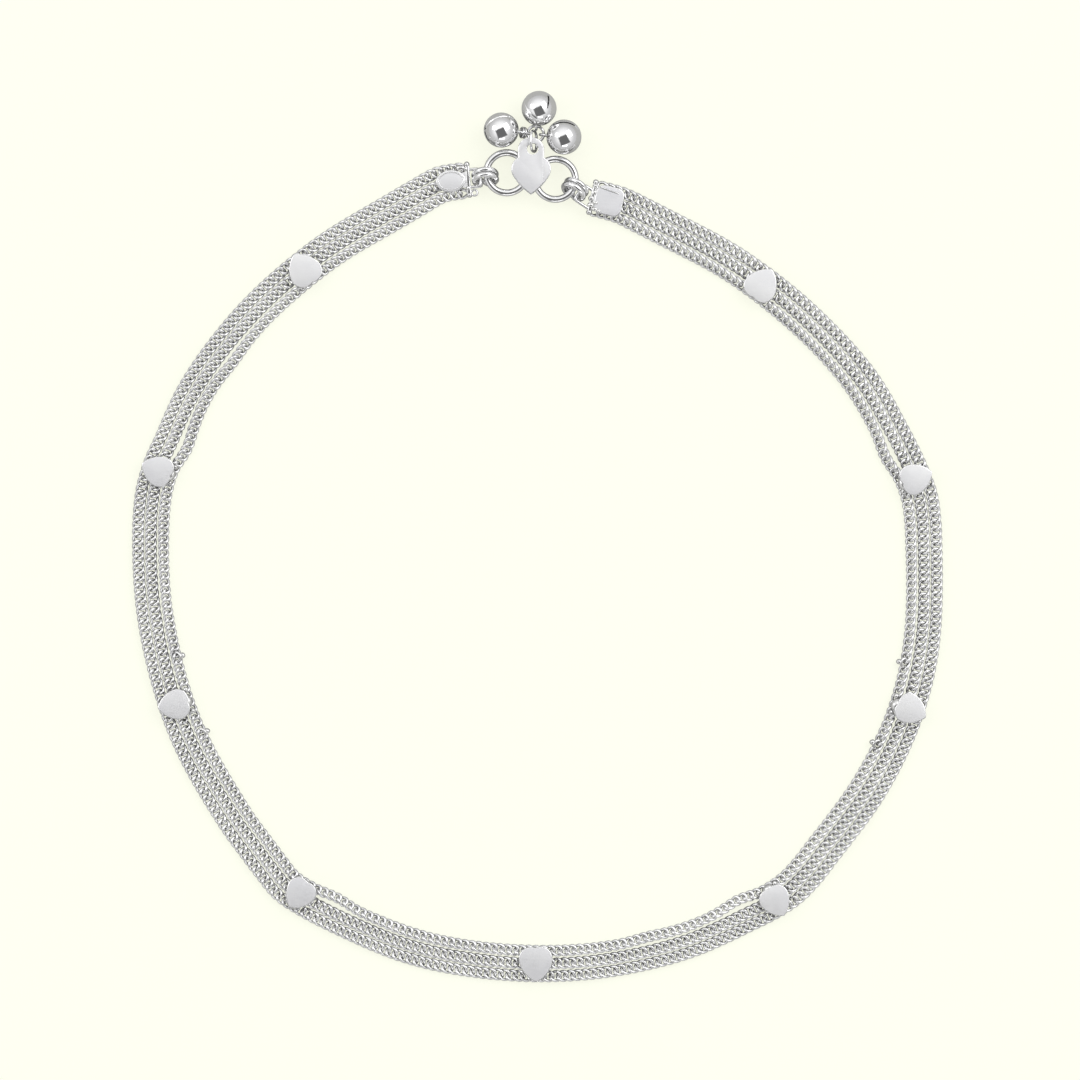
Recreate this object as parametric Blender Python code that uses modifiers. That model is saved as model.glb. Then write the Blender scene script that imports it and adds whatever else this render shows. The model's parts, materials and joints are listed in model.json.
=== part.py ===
"""A waist chain of three curb chains, carried by heart plates and closed by a heart clasp with bells.

The chain lies on a surface as a closed loop. +Z is up, the clasp is at +Y, and the origin is the
middle of the footprint on the surface. Lengths are in metres and angles in degrees.
"""

import math

import bmesh
import bpy
from mathutils import Matrix, Vector

MM = 0.001

# Band of three strands side by side
STRAND_DIAMETER = 2.1 * MM
STRAND_GAP = 0.3 * MM
STRAND_NAMES = ("outer", "middle", "inner")
STRAND_POINT_SPACING = 4.8 * MM
MEETING_GAP = 0.3 * MM
BULGE_REACH = 3.2 * MM

# Heart plates on the band
HEART_WIDTH = 6.4 * MM
HEART_LENGTH = 6.7 * MM
HEART_THICKNESS = 0.5 * MM
HEART_EDGE = 0.12 * MM
HEART_LOBE_SHARE = 0.36
HEART_LOBE_END = -10.0
LOBE_STEP = 15.0
SIDE_POINTS = 5

# Clearance between pieces that touch or are soldered to each other
SEAT_GAP = 0.25 * MM
# Clearance between wires that pass through each other
LINK_GAP = 0.2 * MM

# Big clasp rings, lying flat
RING_DIAMETER = 8.9 * MM
RING_WIRE = 1.3 * MM
RING_SPACING = 0.35 * MM
CLASP_LINE_TURN = -7.6

# Heart clasp: a plate with a tab above and a staple below
CLASP_CENTRE = Vector((-1.3 * MM, 68.35 * MM))
CLASP_WIDTH = 7.5 * MM
CLASP_LENGTH = 7.3 * MM
CLASP_RISE = 3.7 * MM
CLASP_THICKNESS = 0.5 * MM
CLASP_LOBE_SHARE = 0.33
CLASP_LOBE_END = -30.0
TAB_WIDTH = 5.0 * MM
TAB_LENGTH = 3.6 * MM
TAB_HOLE = 2.1 * MM
TAB_MARGIN = 1.25 * MM
HOLE_SHIFT = 0.3 * MM
FACE_THICKNESS = 0.3 * MM
FACE_MARGIN = 0.2 * MM
FACE_SINK = 0.15 * MM
STAPLE_WIRE = 0.8 * MM
STAPLE_BEND = 0.6 * MM
STAPLE_OPENING = 0.3 * MM

# Double jump rings, each a coil of two turns that stands and leans
COIL_WIRE = 1.0 * MM
COIL_TURN_GAP = 0.12 * MM
COIL_LEAN = 26.0
COIL_CROSSING = 60.0
COIL_STEPS = 18
HOLE_SLACK = 1.3 * MM
RING_ROOM = 0.6 * MM
RING_DROP = 0.2 * MM

# End plates: a flat plate, an end bar and an eye of wire, soldered together
BAR_LENGTH = 5.8 * MM
BAR_THICKNESS = 0.8 * MM
BAR_FOOT = 0.3 * MM
PLATE_THICKNESS = 0.5 * MM
PLATE_GAP = 0.05 * MM
BAR_RIM = 0.05 * MM
STRAIGHT_END = 3.5 * MM
EYE_WIRE = 0.6 * MM
EYE_SIDE_ROOM = 0.3 * MM
EYE_GAP = 0.35 * MM
BEAD_DIAMETER = 1.1 * MM
BEAD_SINK = 0.37 * MM
DISC_LENGTH = 5.6 * MM
DISC_WIDTH = 4.2 * MM
TONGUE_LENGTH = 5.4 * MM
TONGUE_WIDTH = 5.5 * MM
TONGUE_CORNER = 1.5 * MM
NECK_WIDTH = 3.0 * MM
NECK_CORNER = 0.4 * MM
NECK_OVERLAP = 0.6 * MM
NECK_THICKNESS = 0.3 * MM
NECK_STEP = 0.1 * MM

# Bell ring, link and bells
BELL_RING_DIAMETER = 3.6 * MM
BELL_RING_WIRE = 0.55 * MM
BELL_RING_LEVEL = 1.2 * MM
BELL_RING_SHIFT = 0.55 * MM
BELL_RING_BACK = 0.5 * MM
LINK_WIRE = 0.5 * MM
LINK_REACH = 1.2 * MM
LINK_TOP_ROOM = 0.3 * MM
LINK_NEAR_SHIFT = 0.4 * MM
LINK_SHIFT = 0.2 * MM
LINK_LEAN = -14.0
LINK_ROUNDNESS = 2.6
LINK_STEPS = 24
BELL_DIAMETER = 6.6 * MM
BELL_WALL = 0.35 * MM
BELL_SLIT = 0.35 * MM
BAIL_WIRE = 0.4 * MM
BAIL_ROOM = 0.15 * MM

# How finely round shapes are divided
WIRE_RESOLUTION = 2
CURVE_STEPS = 40
RING_STEPS = 28
RING_SIDES = 8
BELL_STEPS = 24
BELL_RINGS = 14
HOLLOW_STEPS = 16
HOLLOW_RINGS = 10
BEAD_STEPS = 12
BEAD_RINGS = 8
HOLE_STEPS = 20
DISC_STEPS = 24
TONGUE_STEPS = 4
NECK_STEPS = 2
TAB_STEPS = 5
WIRE_BEND_STEPS = 3
BAIL_STEPS = 5

# Points closer than this are one point, and edges sharper than this angle are eased
WELD_DISTANCE = 0.001 * MM
SHARP_ANGLE = 60.0

# Colours of the finishes: the chains, the flat plates, and the polished rings and bells
FINISHES = {
    "silver_chain": {"colour": (0.80, 0.80, 0.80, 1.0), "roughness": 0.25},
    "silver_satin": {"colour": (0.86, 0.86, 0.87, 1.0), "roughness": 0.38},
    "silver_polished": {"colour": (0.88, 0.88, 0.88, 1.0), "roughness": 0.10},
}

# Middle of the band, from the left end plate down and round to the right one
ROUTE = [
    Vector((x * MM, y * MM))
    for x, y in (
        (-27.8, 61.4),
        (-40.9, 53.3),
        (-53.4, 42.4),
        (-63.6, 29.4),
        (-69.2, 17.8),
        (-72.1, 10.6),
        (-73.1, 1.6),
        (-72.5, -12.4),
        (-69.8, -26.1),
        (-65.1, -39.1),
        (-57.5, -52.3),
        (-51.4, -60.6),
        (-47.3, -65.7),
        (-37.1, -71.5),
        (-22.7, -77.3),
        (-6.4, -80.0),
        (10.2, -79.8),
        (26.5, -76.4),
        (39.6, -70.7),
        (47.6, -66.1),
        (53.6, -59.2),
        (62.8, -46.6),
        (69.4, -32.6),
        (72.6, -17.6),
        (72.7, 2.8),
        (71.1, 10.4),
        (67.4, 18.5),
        (60.4, 30.4),
        (49.4, 42.1),
        (36.9, 51.7),
        (24.0, 58.7),
    )
]

# Heart plates: share along the band, how far out of its middle, turn from square, and size
# beside the largest
HEARTS = (
    {"share": 0.0807, "out": 0.1, "turn": -4.6, "size": 0.98},
    {"share": 0.1895, "out": 0.6, "turn": -6.5, "size": 0.91},
    {"share": 0.2920, "out": 0.6, "turn": -7.8, "size": 0.90},
    {"share": 0.3912, "out": 0.0, "turn": -0.3, "size": 0.90},
    {"share": 0.4994, "out": 0.1, "turn": 3.5, "size": 1.00},
    {"share": 0.6078, "out": 0.6, "turn": -2.5, "size": 0.90},
    {"share": 0.7097, "out": 1.0, "turn": -9.3, "size": 0.90},
    {"share": 0.8102, "out": 0.7, "turn": 2.0, "size": 0.92},
    {"share": 0.9185, "out": 0.1, "turn": 2.4, "size": 0.98},
)

# Places where the inner strand stands off the others: share along the band, and how far
BULGES = (
    {"share": 0.129, "off": 0.35},
    {"share": 0.173, "off": 0.70},
    {"share": 0.405, "off": 0.55},
    {"share": 0.552, "off": 0.30},
    {"share": 0.592, "off": 0.60},
    {"share": 0.825, "off": 0.65},
)

# Ends of the band: bearing of the pull on the coil, of the coil's plane, of the way from the
# coil to the bar, and of the plate
ENDS = {
    "left": {"side": -1, "pull": 192.0, "coil": 184.0, "way": 188.0, "plate": 185.0},
    "right": {"side": 1, "pull": -27.5, "coil": -33.0, "way": -24.0, "plate": -13.0},
}

# Bells: where their middle is from the middle of the bell ring. Then their slit: its swing from
# that bearing, its rise above level, its turn from lying level, and its reach each way
BELLS = {
    "top": {
        "bearing": 82.0,
        "distance": 4.75,
        "slit_swing": -49.0,
        "slit_rise": 50.0,
        "slit_turn": -45.0,
        "slit_reach": 1.4,
    },
    "left": {
        "bearing": 174.5,
        "distance": 6.5,
        "slit_swing": 21.0,
        "slit_rise": 22.0,
        "slit_turn": 0.0,
        "slit_reach": 1.6,
    },
    "right": {
        "bearing": -7.5,
        "distance": 5.4,
        "slit_swing": 99.5,
        "slit_rise": 36.0,
        "slit_turn": -4.0,
        "slit_reach": 2.25,
    },
}


def clear_scene():
    for existing in list(bpy.data.objects):
        bpy.data.objects.remove(existing, do_unlink=True)


def new_collection(name):
    made = bpy.data.collections.new(name)
    bpy.context.scene.collection.children.link(made)
    return made


def new_material(name):
    finish = FINISHES[name]
    made = bpy.data.materials.new(name)
    made.use_nodes = True
    shader = made.node_tree.nodes["Principled BSDF"]
    shader.inputs["Base Color"].default_value = finish["colour"]
    shader.inputs["Roughness"].default_value = finish["roughness"]
    shader.inputs["Metallic"].default_value = 1.0
    made.diffuse_color = finish["colour"]
    return made


def direction(bearing):
    """The level unit vector at this bearing, in degrees from +X."""
    turn = math.radians(bearing)
    return Vector((math.cos(turn), math.sin(turn)))


def lifted(flat, level):
    return Vector((flat.x, flat.y, level))


class Builder:
    """Makes the pieces of the chain and keeps them in their collections."""

    def __init__(self):
        self.parts = new_collection("waist_chain")
        self.cutters = new_collection("waist_chain_cutters")
        self.materials = {name: new_material(name) for name in FINISHES}

    def add(self, name, data, finish, matrix=None):
        made = bpy.data.objects.new(name, data)
        self.parts.objects.link(made)
        data.materials.append(self.materials[finish])
        made.matrix_world = matrix or Matrix.Identity(4)
        return made

    def wire(self, name, points, diameter, finish, closed=False, matrix=None):
        """A round wire along these points."""
        curve = bpy.data.curves.new(name, "CURVE")
        curve.dimensions = "3D"
        curve.bevel_depth = diameter / 2
        curve.bevel_resolution = WIRE_RESOLUTION
        curve.use_fill_caps = not closed
        spline = curve.splines.new("POLY")
        spline.points.add(len(points) - 1)
        for slot, point in zip(spline.points, points):
            slot.co = (*point, 1.0)
        spline.use_cyclic_u = closed
        return self.add(name, curve, finish, matrix)

    def slab(self, name, outline, thickness, finish, matrix=None, hole=None):
        """A flat piece of this outline, from level 0 up to its thickness."""
        curve = bpy.data.curves.new(name, "CURVE")
        curve.dimensions = "2D"
        curve.fill_mode = "BOTH"
        curve.extrude = thickness / 2
        for ring in (outline, hole):
            if ring is None:
                continue
            spline = curve.splines.new("POLY")
            spline.points.add(len(ring) - 1)
            for slot, point in zip(spline.points, ring):
                slot.co = (point[0], point[1], 0.0, 1.0)
            spline.use_cyclic_u = True
        rise = Matrix.Translation((0, 0, thickness / 2))
        return self.add(name, curve, finish, (matrix or Matrix.Identity(4)) @ rise)

    def ring(self, name, diameter, wire, finish, matrix):
        """A closed ring of this outer diameter, lying flat."""
        bpy.ops.mesh.primitive_torus_add(
            major_segments=RING_STEPS,
            minor_segments=RING_SIDES,
            major_radius=(diameter - wire) / 2,
            minor_radius=wire / 2,
        )
        return self.adopt(name, finish, matrix)

    def ball(self, name, diameter, finish, matrix, steps=BELL_STEPS, rings=BELL_RINGS):
        bpy.ops.mesh.primitive_uv_sphere_add(segments=steps, ring_count=rings, radius=diameter / 2)
        return self.adopt(name, finish, matrix)

    def block(self, name, size, finish, matrix):
        """A box of this size round the middle of its matrix."""
        bpy.ops.mesh.primitive_cube_add(size=1.0)
        made = self.adopt(name, finish, matrix)
        made.data.transform(Matrix.Diagonal((*size, 1.0)))
        return made

    def drum(self, name, diameter, height, finish, matrix, steps=BELL_STEPS):
        bpy.ops.mesh.primitive_cylinder_add(vertices=steps, radius=diameter / 2, depth=height)
        return self.adopt(name, finish, matrix)

    def adopt(self, name, finish, matrix):
        """Takes the primitive that was just added into the parts."""
        made = bpy.context.object
        made.name = name
        made.data.name = name
        for holder in list(made.users_collection):
            holder.objects.unlink(made)
        self.parts.objects.link(made)
        made.data.materials.append(self.materials[finish])
        made.matrix_world = matrix
        return made

    def solid(self, source):
        """The mesh that a curve makes, in its place, with its caps welded."""
        graph = bpy.context.evaluated_depsgraph_get()
        mesh = bpy.data.meshes.new_from_object(source.evaluated_get(graph))
        shape = bmesh.new()
        shape.from_mesh(mesh)
        bmesh.ops.remove_doubles(shape, verts=shape.verts, dist=WELD_DISTANCE)
        bmesh.ops.recalc_face_normals(shape, faces=shape.faces)
        shape.to_mesh(mesh)
        shape.free()
        name = source.name
        place = source.matrix_world.copy()
        bpy.data.objects.remove(source)
        made = bpy.data.objects.new(name, mesh)
        self.parts.objects.link(made)
        made.matrix_world = place
        return made

    def combine(self, base, other, operation):
        """Joins another solid to the base, or cuts it away, and puts it with the cutters."""
        modifier = base.modifiers.new(other.name, "BOOLEAN")
        modifier.operation = operation
        modifier.solver = "EXACT"
        modifier.object = other
        self.parts.objects.unlink(other)
        self.cutters.objects.link(other)
        other.hide_render = True
        other.display_type = "WIRE"


def arc(centre, radius, start, end, steps):
    """Points on an arc from one angle to another, both ends included."""
    return [
        Vector(centre) + radius * direction(start + (end - start) * step / steps)
        for step in range(steps + 1)
    ]


def heart_side(width, length, lobe_share, lobe_end, top):
    """The right side of a heart with its lobes round the local origin: from its tip at -Y up
    along the side and round the lobe to the angle top."""
    lobe = lobe_share * width
    lobe_centre = width / 2 - lobe
    steps = max(1, round((top - lobe_end) / LOBE_STEP))
    round_part = arc((lobe_centre, 0.0), lobe, lobe_end, top, steps)
    side = tangent_arc(round_part[0], lobe_end - 90.0, Vector((0.0, lobe - length)))
    return list(reversed(side)) + round_part


def mirrored(half):
    """The closed outline of a right side that starts and ends on the Y axis."""
    return half + [Vector((-point.x, point.y)) for point in reversed(half[1:-1])]


def heart_outline(size):
    """A heart plate of this size beside the largest, with its lobes round the local origin."""
    width = size * HEART_WIDTH
    length = size * HEART_LENGTH
    notch = math.degrees(math.acos(1 - 1 / (2 * HEART_LOBE_SHARE)))
    return mirrored(heart_side(width, length, HEART_LOBE_SHARE, HEART_LOBE_END, notch))


def clasp_outline(margin):
    """The clasp's heart with its tab, this much smaller all round, from the local middle of
    the clasp."""
    width = CLASP_WIDTH - 2 * margin
    lobe = CLASP_LOBE_SHARE * width
    half_tab = TAB_WIDTH / 2 - margin
    shoulder = math.degrees(math.acos((half_tab - (width / 2 - lobe)) / lobe))
    length = CLASP_LENGTH - 2 * margin
    half = heart_side(width, length, CLASP_LOBE_SHARE, CLASP_LOBE_END, shoulder)
    rise = CLASP_RISE - margin - lobe
    half = [point + Vector((0.0, rise)) for point in half]
    top = CLASP_RISE + TAB_LENGTH - margin
    return mirrored(half + arc((0.0, top - half_tab), half_tab, 0.0, 90.0, TAB_STEPS))


def face_outline():
    """The clasp's raised face, which runs straight down on the right from its tab."""
    limit = TAB_WIDTH / 2 - FACE_MARGIN
    return [Vector((min(point.x, limit), point.y)) for point in clasp_outline(FACE_MARGIN)]


def tangent_arc(start, heading, end):
    """Points after the start on the arc that leaves it at this heading and ends at the end."""
    chord = end - start
    bearing = math.degrees(math.atan2(chord.y, chord.x))
    half_turn = math.radians(bearing - heading)
    radius = chord.length / (2 * math.sin(half_turn))
    points = []
    for step in range(1, SIDE_POINTS + 1):
        swept = 2 * half_turn * step / SIDE_POINTS
        reach = 2 * radius * math.sin(swept / 2)
        points.append(start + reach * direction(heading + math.degrees(swept / 2)))
    return points


def oval(length, width, steps):
    return [
        Vector((length / 2 * direction(360 * k / steps).x, width / 2 * direction(360 * k / steps).y))
        for k in range(steps)
    ]


def rounded_rectangle(length, width, corner, steps):
    points = []
    for quarter, (x, y) in enumerate(((1, 1), (-1, 1), (-1, -1), (1, -1))):
        middle = (x * (length / 2 - corner), y * (width / 2 - corner))
        points += arc(middle, corner, 90 * quarter, 90 * quarter + 90, steps)
    return points


def smooth_curve(points, spacing):
    """Points at about this spacing on a smooth curve through the given points."""
    dense = []
    padded = [2 * points[0] - points[1], *points, 2 * points[-1] - points[-2]]
    for before, start, end, after in zip(padded, padded[1:], padded[2:], padded[3:]):
        for step in range(CURVE_STEPS):
            t = step / CURVE_STEPS
            dense.append(
                0.5
                * (
                    2 * start
                    + (end - before) * t
                    + (2 * before - 5 * start + 4 * end - after) * t**2
                    + (3 * start - before - 3 * end + after) * t**3
                )
            )
    dense.append(points[-1])
    return evenly_spaced(dense, spacing)


def evenly_spaced(points, spacing):
    lengths = [0.0]
    for start, end in zip(points, points[1:]):
        lengths.append(lengths[-1] + (end - start).length)
    count = max(2, round(lengths[-1] / spacing))
    placed = []
    segment = 0
    for step in range(count + 1):
        wanted = lengths[-1] * step / count
        while segment < len(points) - 2 and lengths[segment + 1] < wanted:
            segment += 1
        span = lengths[segment + 1] - lengths[segment]
        share = (wanted - lengths[segment]) / span
        placed.append(points[segment].lerp(points[segment + 1], share))
    return placed


# Layout of the clasp, worked out from its middle outwards

RING_RADIUS = (RING_DIAMETER - RING_WIRE) / 2
STRAND_PITCH = STRAND_DIAMETER + STRAND_GAP
COIL_HOLE = RING_WIRE + EYE_WIRE + HOLE_SLACK
COIL_RADIUS = (COIL_HOLE + COIL_WIRE) / 2
COIL_PITCH = COIL_WIRE + COIL_TURN_GAP
COIL_WIDTH = COIL_PITCH + COIL_WIRE
EYE_REACH = COIL_HOLE / 2 - EYE_WIRE / 2 - EYE_GAP
COIL_SHIFT = COIL_HOLE / 2 - RING_WIRE / 2 - RING_ROOM
BAR_REACH = COIL_HOLE / 2 + COIL_WIRE + SEAT_GAP + BAR_THICKNESS / 2
COIL_LEVEL = (
    COIL_RADIUS * math.cos(math.radians(COIL_LEAN))
    + COIL_PITCH / 2 * math.sin(math.radians(COIL_LEAN))
    + COIL_WIRE / 2
)
RING_LEVEL = COIL_LEVEL - RING_DROP
PLATE_LEVEL = STRAND_DIAMETER + SEAT_GAP
CLASP_LEVEL = RING_LEVEL + RING_WIRE / 2 + SEAT_GAP


def coil_points():
    """Two turns beside each other, joined by a crossing at the foot of the coil."""
    sweep = 720.0 - COIL_CROSSING
    steps = round(COIL_STEPS * sweep / 360)
    points = []
    for step in range(steps + 1):
        swept = sweep * step / steps
        crossed = (swept - 360.0 + COIL_CROSSING) / COIL_CROSSING
        crossed = min(1.0, max(0.0, crossed))
        flat = COIL_RADIUS * direction(swept - 90.0 + COIL_CROSSING / 2)
        points.append(lifted(flat, (crossed - 0.5) * COIL_PITCH))
    return points


def staple_points():
    """The staple's wire: down from the plate, under both ring wires and up to its open tip."""
    leg = RING_SPACING / 2 + RING_WIRE + SEAT_GAP + STAPLE_WIRE / 2
    foot = RING_LEVEL - RING_WIRE / 2 - SEAT_GAP - STAPLE_WIRE / 2
    top = CLASP_LEVEL + CLASP_THICKNESS / 2
    tip = CLASP_LEVEL - STAPLE_OPENING
    bend = STAPLE_BEND
    first = arc((-leg + bend, foot + bend), bend, 180, 270, WIRE_BEND_STEPS)
    second = arc((leg - bend, foot + bend), bend, 270, 360, WIRE_BEND_STEPS)
    flat = [Vector((-leg, top)), *first, *second, Vector((leg, tip))]
    return [Vector((point.x, 0.0, point.y)) for point in flat]


def eye_points(end):
    """The eye's wire in the coil's frame: out from the bar, across through the coil and back."""
    bar = placed(coil_centre(end), 0.0, end["coil"]).inverted() @ lifted(bar_centre(end), 0.0)
    half = COIL_WIDTH / 2 + EYE_SIDE_ROOM + EYE_WIRE / 2
    bend = EYE_WIRE
    near = Vector((bar.x - (half - bar.y) * bar_slope(end), half))
    first = arc((EYE_REACH + bend, half - bend), bend, 90, 180, WIRE_BEND_STEPS)
    second = arc((EYE_REACH + bend, bend - half), bend, 180, 270, WIRE_BEND_STEPS)
    far = Vector((bar.x + (half + bar.y) * bar_slope(end), -half))
    return [lifted(point, 0.0) for point in (near, *first, *second, far)]


def link_points(half_width, half_height):
    """A rounded oval in the upright plane."""
    points = []
    for step in range(LINK_STEPS):
        unit = direction(360 * step / LINK_STEPS)
        across = math.copysign(abs(unit.x) ** (2 / LINK_ROUNDNESS), unit.x)
        upward = math.copysign(abs(unit.y) ** (2 / LINK_ROUNDNESS), unit.y)
        points.append(Vector((0.0, half_width * across, half_height * upward)))
    return points


def bail_points(radius, length):
    """A loop with round ends, the near one round the local origin, the far one along +X."""
    near = arc((0.0, 0.0), radius, 90, 270, BAIL_STEPS)
    far = arc((length, 0.0), radius, -90, 90, BAIL_STEPS)
    return [Vector((point.x, 0.0, point.y)) for point in near + far]


def turned(bearing):
    return Matrix.Rotation(math.radians(bearing), 4, "Z")


def placed(flat, level, bearing=0.0):
    return Matrix.Translation(lifted(flat, level)) @ turned(bearing)


def frame_along(start, end):
    """A frame at the start with +X towards the end and its XZ plane upright."""
    x_axis = (end - start).normalized()
    y_axis = Vector((0, 0, 1)).cross(x_axis).normalized()
    z_axis = x_axis.cross(y_axis)
    frame = Matrix((x_axis, y_axis, z_axis)).transposed().to_4x4()
    return Matrix.Translation(start) @ frame


def ring_centre(side):
    reach = (RING_DIAMETER + RING_SPACING) / 2
    return CLASP_CENTRE + side * reach * direction(CLASP_LINE_TURN)


def coil_centre(end):
    return ring_centre(end["side"]) + (RING_RADIUS + COIL_SHIFT) * direction(end["pull"])


def bar_slope(end):
    """How the end bar slopes beside the coil's plane."""
    return math.tan(math.radians(end["plate"] - end["coil"]))


def bar_centre(end):
    reach = BAR_REACH + COIL_WIDTH / 2 * abs(bar_slope(end))
    return coil_centre(end) + reach * direction(end["way"])


def band_line():
    """The middle of the band from one end bar to the other."""
    starts = []
    for end in ENDS.values():
        away = direction(end["plate"])
        first = bar_centre(end) + (BAR_THICKNESS / 2 + SEAT_GAP) * away
        starts.append([first, first + STRAIGHT_END * away])
    left, right = starts
    return smooth_curve([*left, *ROUTE, *reversed(right)], STRAND_POINT_SPACING)


def outward(points, index):
    """The level unit vector out of the loop at this point of a line."""
    along = points[min(index + 1, len(points) - 1)] - points[max(index - 1, 0)]
    return Vector((along.y, -along.x)).normalized()


def place_along(points, share):
    """The point at this share of a line, and the level unit vector out of the loop there."""
    reach = share * (len(points) - 1)
    index = min(int(reach), len(points) - 2)
    out = outward(points, index).lerp(outward(points, index + 1), reach - index).normalized()
    return points[index].lerp(points[index + 1], reach - index), out


def strand_line(line, rank):
    """The line of a strand: rank 1 is the outer one, 0 the middle one and -1 the inner one."""
    length = STRAND_POINT_SPACING * (len(line) - 1)
    points = []
    for index, point in enumerate(line):
        share = index / (len(line) - 1)
        stand_off = 0.0
        for bulge in BULGES:
            away = (share - bulge["share"]) * length / BULGE_REACH
            stand_off += bulge["off"] * MM * math.exp(-(away**2))
        offset = rank * STRAND_PITCH - (stand_off if rank < 0 else 0.0)
        points.append(point + offset * outward(line, index))
    return points


def halves(points):
    """The line in two, with the meeting gap between them."""
    middle = len(points) // 2
    half_gap = (points[middle + 1] - points[middle - 1]).normalized() * MEETING_GAP / 2
    return (
        [*points[:middle], points[middle] - half_gap],
        [points[middle] + half_gap, *points[middle + 1 :]],
    )


def make_strands(builder, line):
    for name, rank in zip(STRAND_NAMES, (1, 0, -1)):
        for side, points in zip(ENDS, halves(strand_line(line, rank))):
            path = [lifted(point, STRAND_DIAMETER / 2) for point in points]
            builder.wire(f"strand_{name}_{side}", path, STRAND_DIAMETER, "silver_chain")


def make_heart_plates(builder, line):
    for number, heart in enumerate(HEARTS, 1):
        outline = heart_outline(heart["size"])
        middle = heart["size"] * (HEART_LOBE_SHARE * HEART_WIDTH - HEART_LENGTH / 2)
        seat, out = place_along(line, heart["share"])
        bearing = math.degrees(math.atan2(out.y, out.x)) + heart["turn"]
        centre = seat + heart["out"] * MM * out + middle * direction(bearing)
        matrix = placed(centre, PLATE_LEVEL, bearing + 90.0)
        plate = builder.slab(
            f"heart_plate_{number}", outline, HEART_THICKNESS, "silver_satin", matrix
        )
        ease_edges(plate, HEART_EDGE)


def ease_edges(made, width):
    """Breaks the sharp edges of a slab."""
    weld = made.modifiers.new("weld", "WELD")
    weld.merge_threshold = WELD_DISTANCE
    bevel = made.modifiers.new("edge", "BEVEL")
    bevel.width = width
    bevel.segments = 1
    bevel.limit_method = "ANGLE"
    bevel.angle_limit = math.radians(SHARP_ANGLE)


def make_clasp_rings(builder):
    for name, end in ENDS.items():
        matrix = placed(ring_centre(end["side"]), RING_LEVEL)
        builder.ring(f"clasp_ring_{name}", RING_DIAMETER, RING_WIRE, "silver_polished", matrix)


def make_double_rings(builder):
    points = coil_points()
    upright = Matrix.Rotation(math.radians(90), 4, "X")
    for name, end in ENDS.items():
        lean = Matrix.Rotation(math.radians(-end["side"] * COIL_LEAN), 4, "X")
        matrix = placed(coil_centre(end), COIL_LEVEL, end["coil"]) @ lean @ upright
        builder.wire(f"double_ring_{name}", points, COIL_WIRE, "silver_polished", matrix=matrix)


def plate_outlines():
    """The outline of each end's flat plate, from the bar outwards along +X."""
    start = BAR_THICKNESS / 2 + PLATE_GAP
    disc = oval(DISC_LENGTH, DISC_WIDTH, DISC_STEPS)
    tongue = rounded_rectangle(TONGUE_LENGTH, TONGUE_WIDTH, TONGUE_CORNER, TONGUE_STEPS)
    return {
        "left": [point + Vector((start + DISC_LENGTH / 2, 0.0)) for point in disc],
        "right": [point + Vector((start + TONGUE_LENGTH / 2, 0.0)) for point in tongue],
    }


def make_end_plates(builder):
    finish = "silver_satin"
    outlines = plate_outlines()
    bar_top = COIL_LEVEL + EYE_WIRE / 2 + BAR_RIM
    bar_size = (BAR_THICKNESS, BAR_LENGTH, bar_top - BAR_FOOT)
    neck_reach = BAR_THICKNESS / 2 + PLATE_GAP + NECK_OVERLAP
    neck = rounded_rectangle(neck_reach, NECK_WIDTH, NECK_CORNER, NECK_STEPS)
    neck = [point + Vector((neck_reach / 2, 0.0)) for point in neck]
    for name, end in ENDS.items():
        base = placed(bar_centre(end), 0.0, end["plate"])
        plate_place = base @ Matrix.Translation((0, 0, PLATE_LEVEL))
        plate = builder.slab(
            f"end_plate_{name}", outlines[name], PLATE_THICKNESS, finish, plate_place
        )
        plate = builder.solid(plate)
        neck_place = plate_place @ Matrix.Translation((0, 0, NECK_STEP))
        neck_solid = builder.slab(f"neck_{name}", neck, NECK_THICKNESS, finish, neck_place)
        builder.combine(plate, builder.solid(neck_solid), "UNION")
        bar_place = base @ Matrix.Translation((0, 0, (BAR_FOOT + bar_top) / 2))
        bar = builder.block(f"bar_{name}", bar_size, finish, bar_place)
        builder.combine(plate, bar, "UNION")
        eye_place = placed(coil_centre(end), COIL_LEVEL, end["coil"])
        eye_wire = builder.wire(f"eye_{name}", eye_points(end), EYE_WIRE, finish, matrix=eye_place)
        builder.combine(plate, builder.solid(eye_wire), "UNION")
        for number, side in enumerate((-1, 1), 1):
            corner = (0, side * BAR_LENGTH / 2, bar_top - BEAD_SINK)
            bead_place = base @ Matrix.Translation(corner)
            bead = builder.ball(
                f"bead_{name}_{number}", BEAD_DIAMETER, finish, bead_place, BEAD_STEPS, BEAD_RINGS
            )
            builder.combine(plate, bead, "UNION")


def make_heart_clasp(builder):
    finish = "silver_satin"
    base = placed(CLASP_CENTRE, CLASP_LEVEL)
    clasp = builder.slab("heart_clasp", clasp_outline(0.0), CLASP_THICKNESS, finish, base)
    clasp = builder.solid(clasp)

    face_place = base @ Matrix.Translation((0, 0, CLASP_THICKNESS - FACE_SINK))
    face_height = FACE_THICKNESS + FACE_SINK
    face = builder.slab("clasp_face", face_outline(), face_height, finish, face_place)
    builder.combine(clasp, builder.solid(face), "UNION")

    hole_place = placed(tab_hole_centre(), CLASP_LEVEL + CLASP_THICKNESS / 2)
    hole = builder.drum(
        "tab_hole", TAB_HOLE, 4 * CLASP_THICKNESS, finish, hole_place, HOLE_STEPS
    )
    builder.combine(clasp, hole, "DIFFERENCE")

    staple_place = placed(CLASP_CENTRE, 0.0, CLASP_LINE_TURN)
    staple = builder.wire("staple", staple_points(), STAPLE_WIRE, finish, matrix=staple_place)
    builder.combine(clasp, builder.solid(staple), "UNION")


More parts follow.
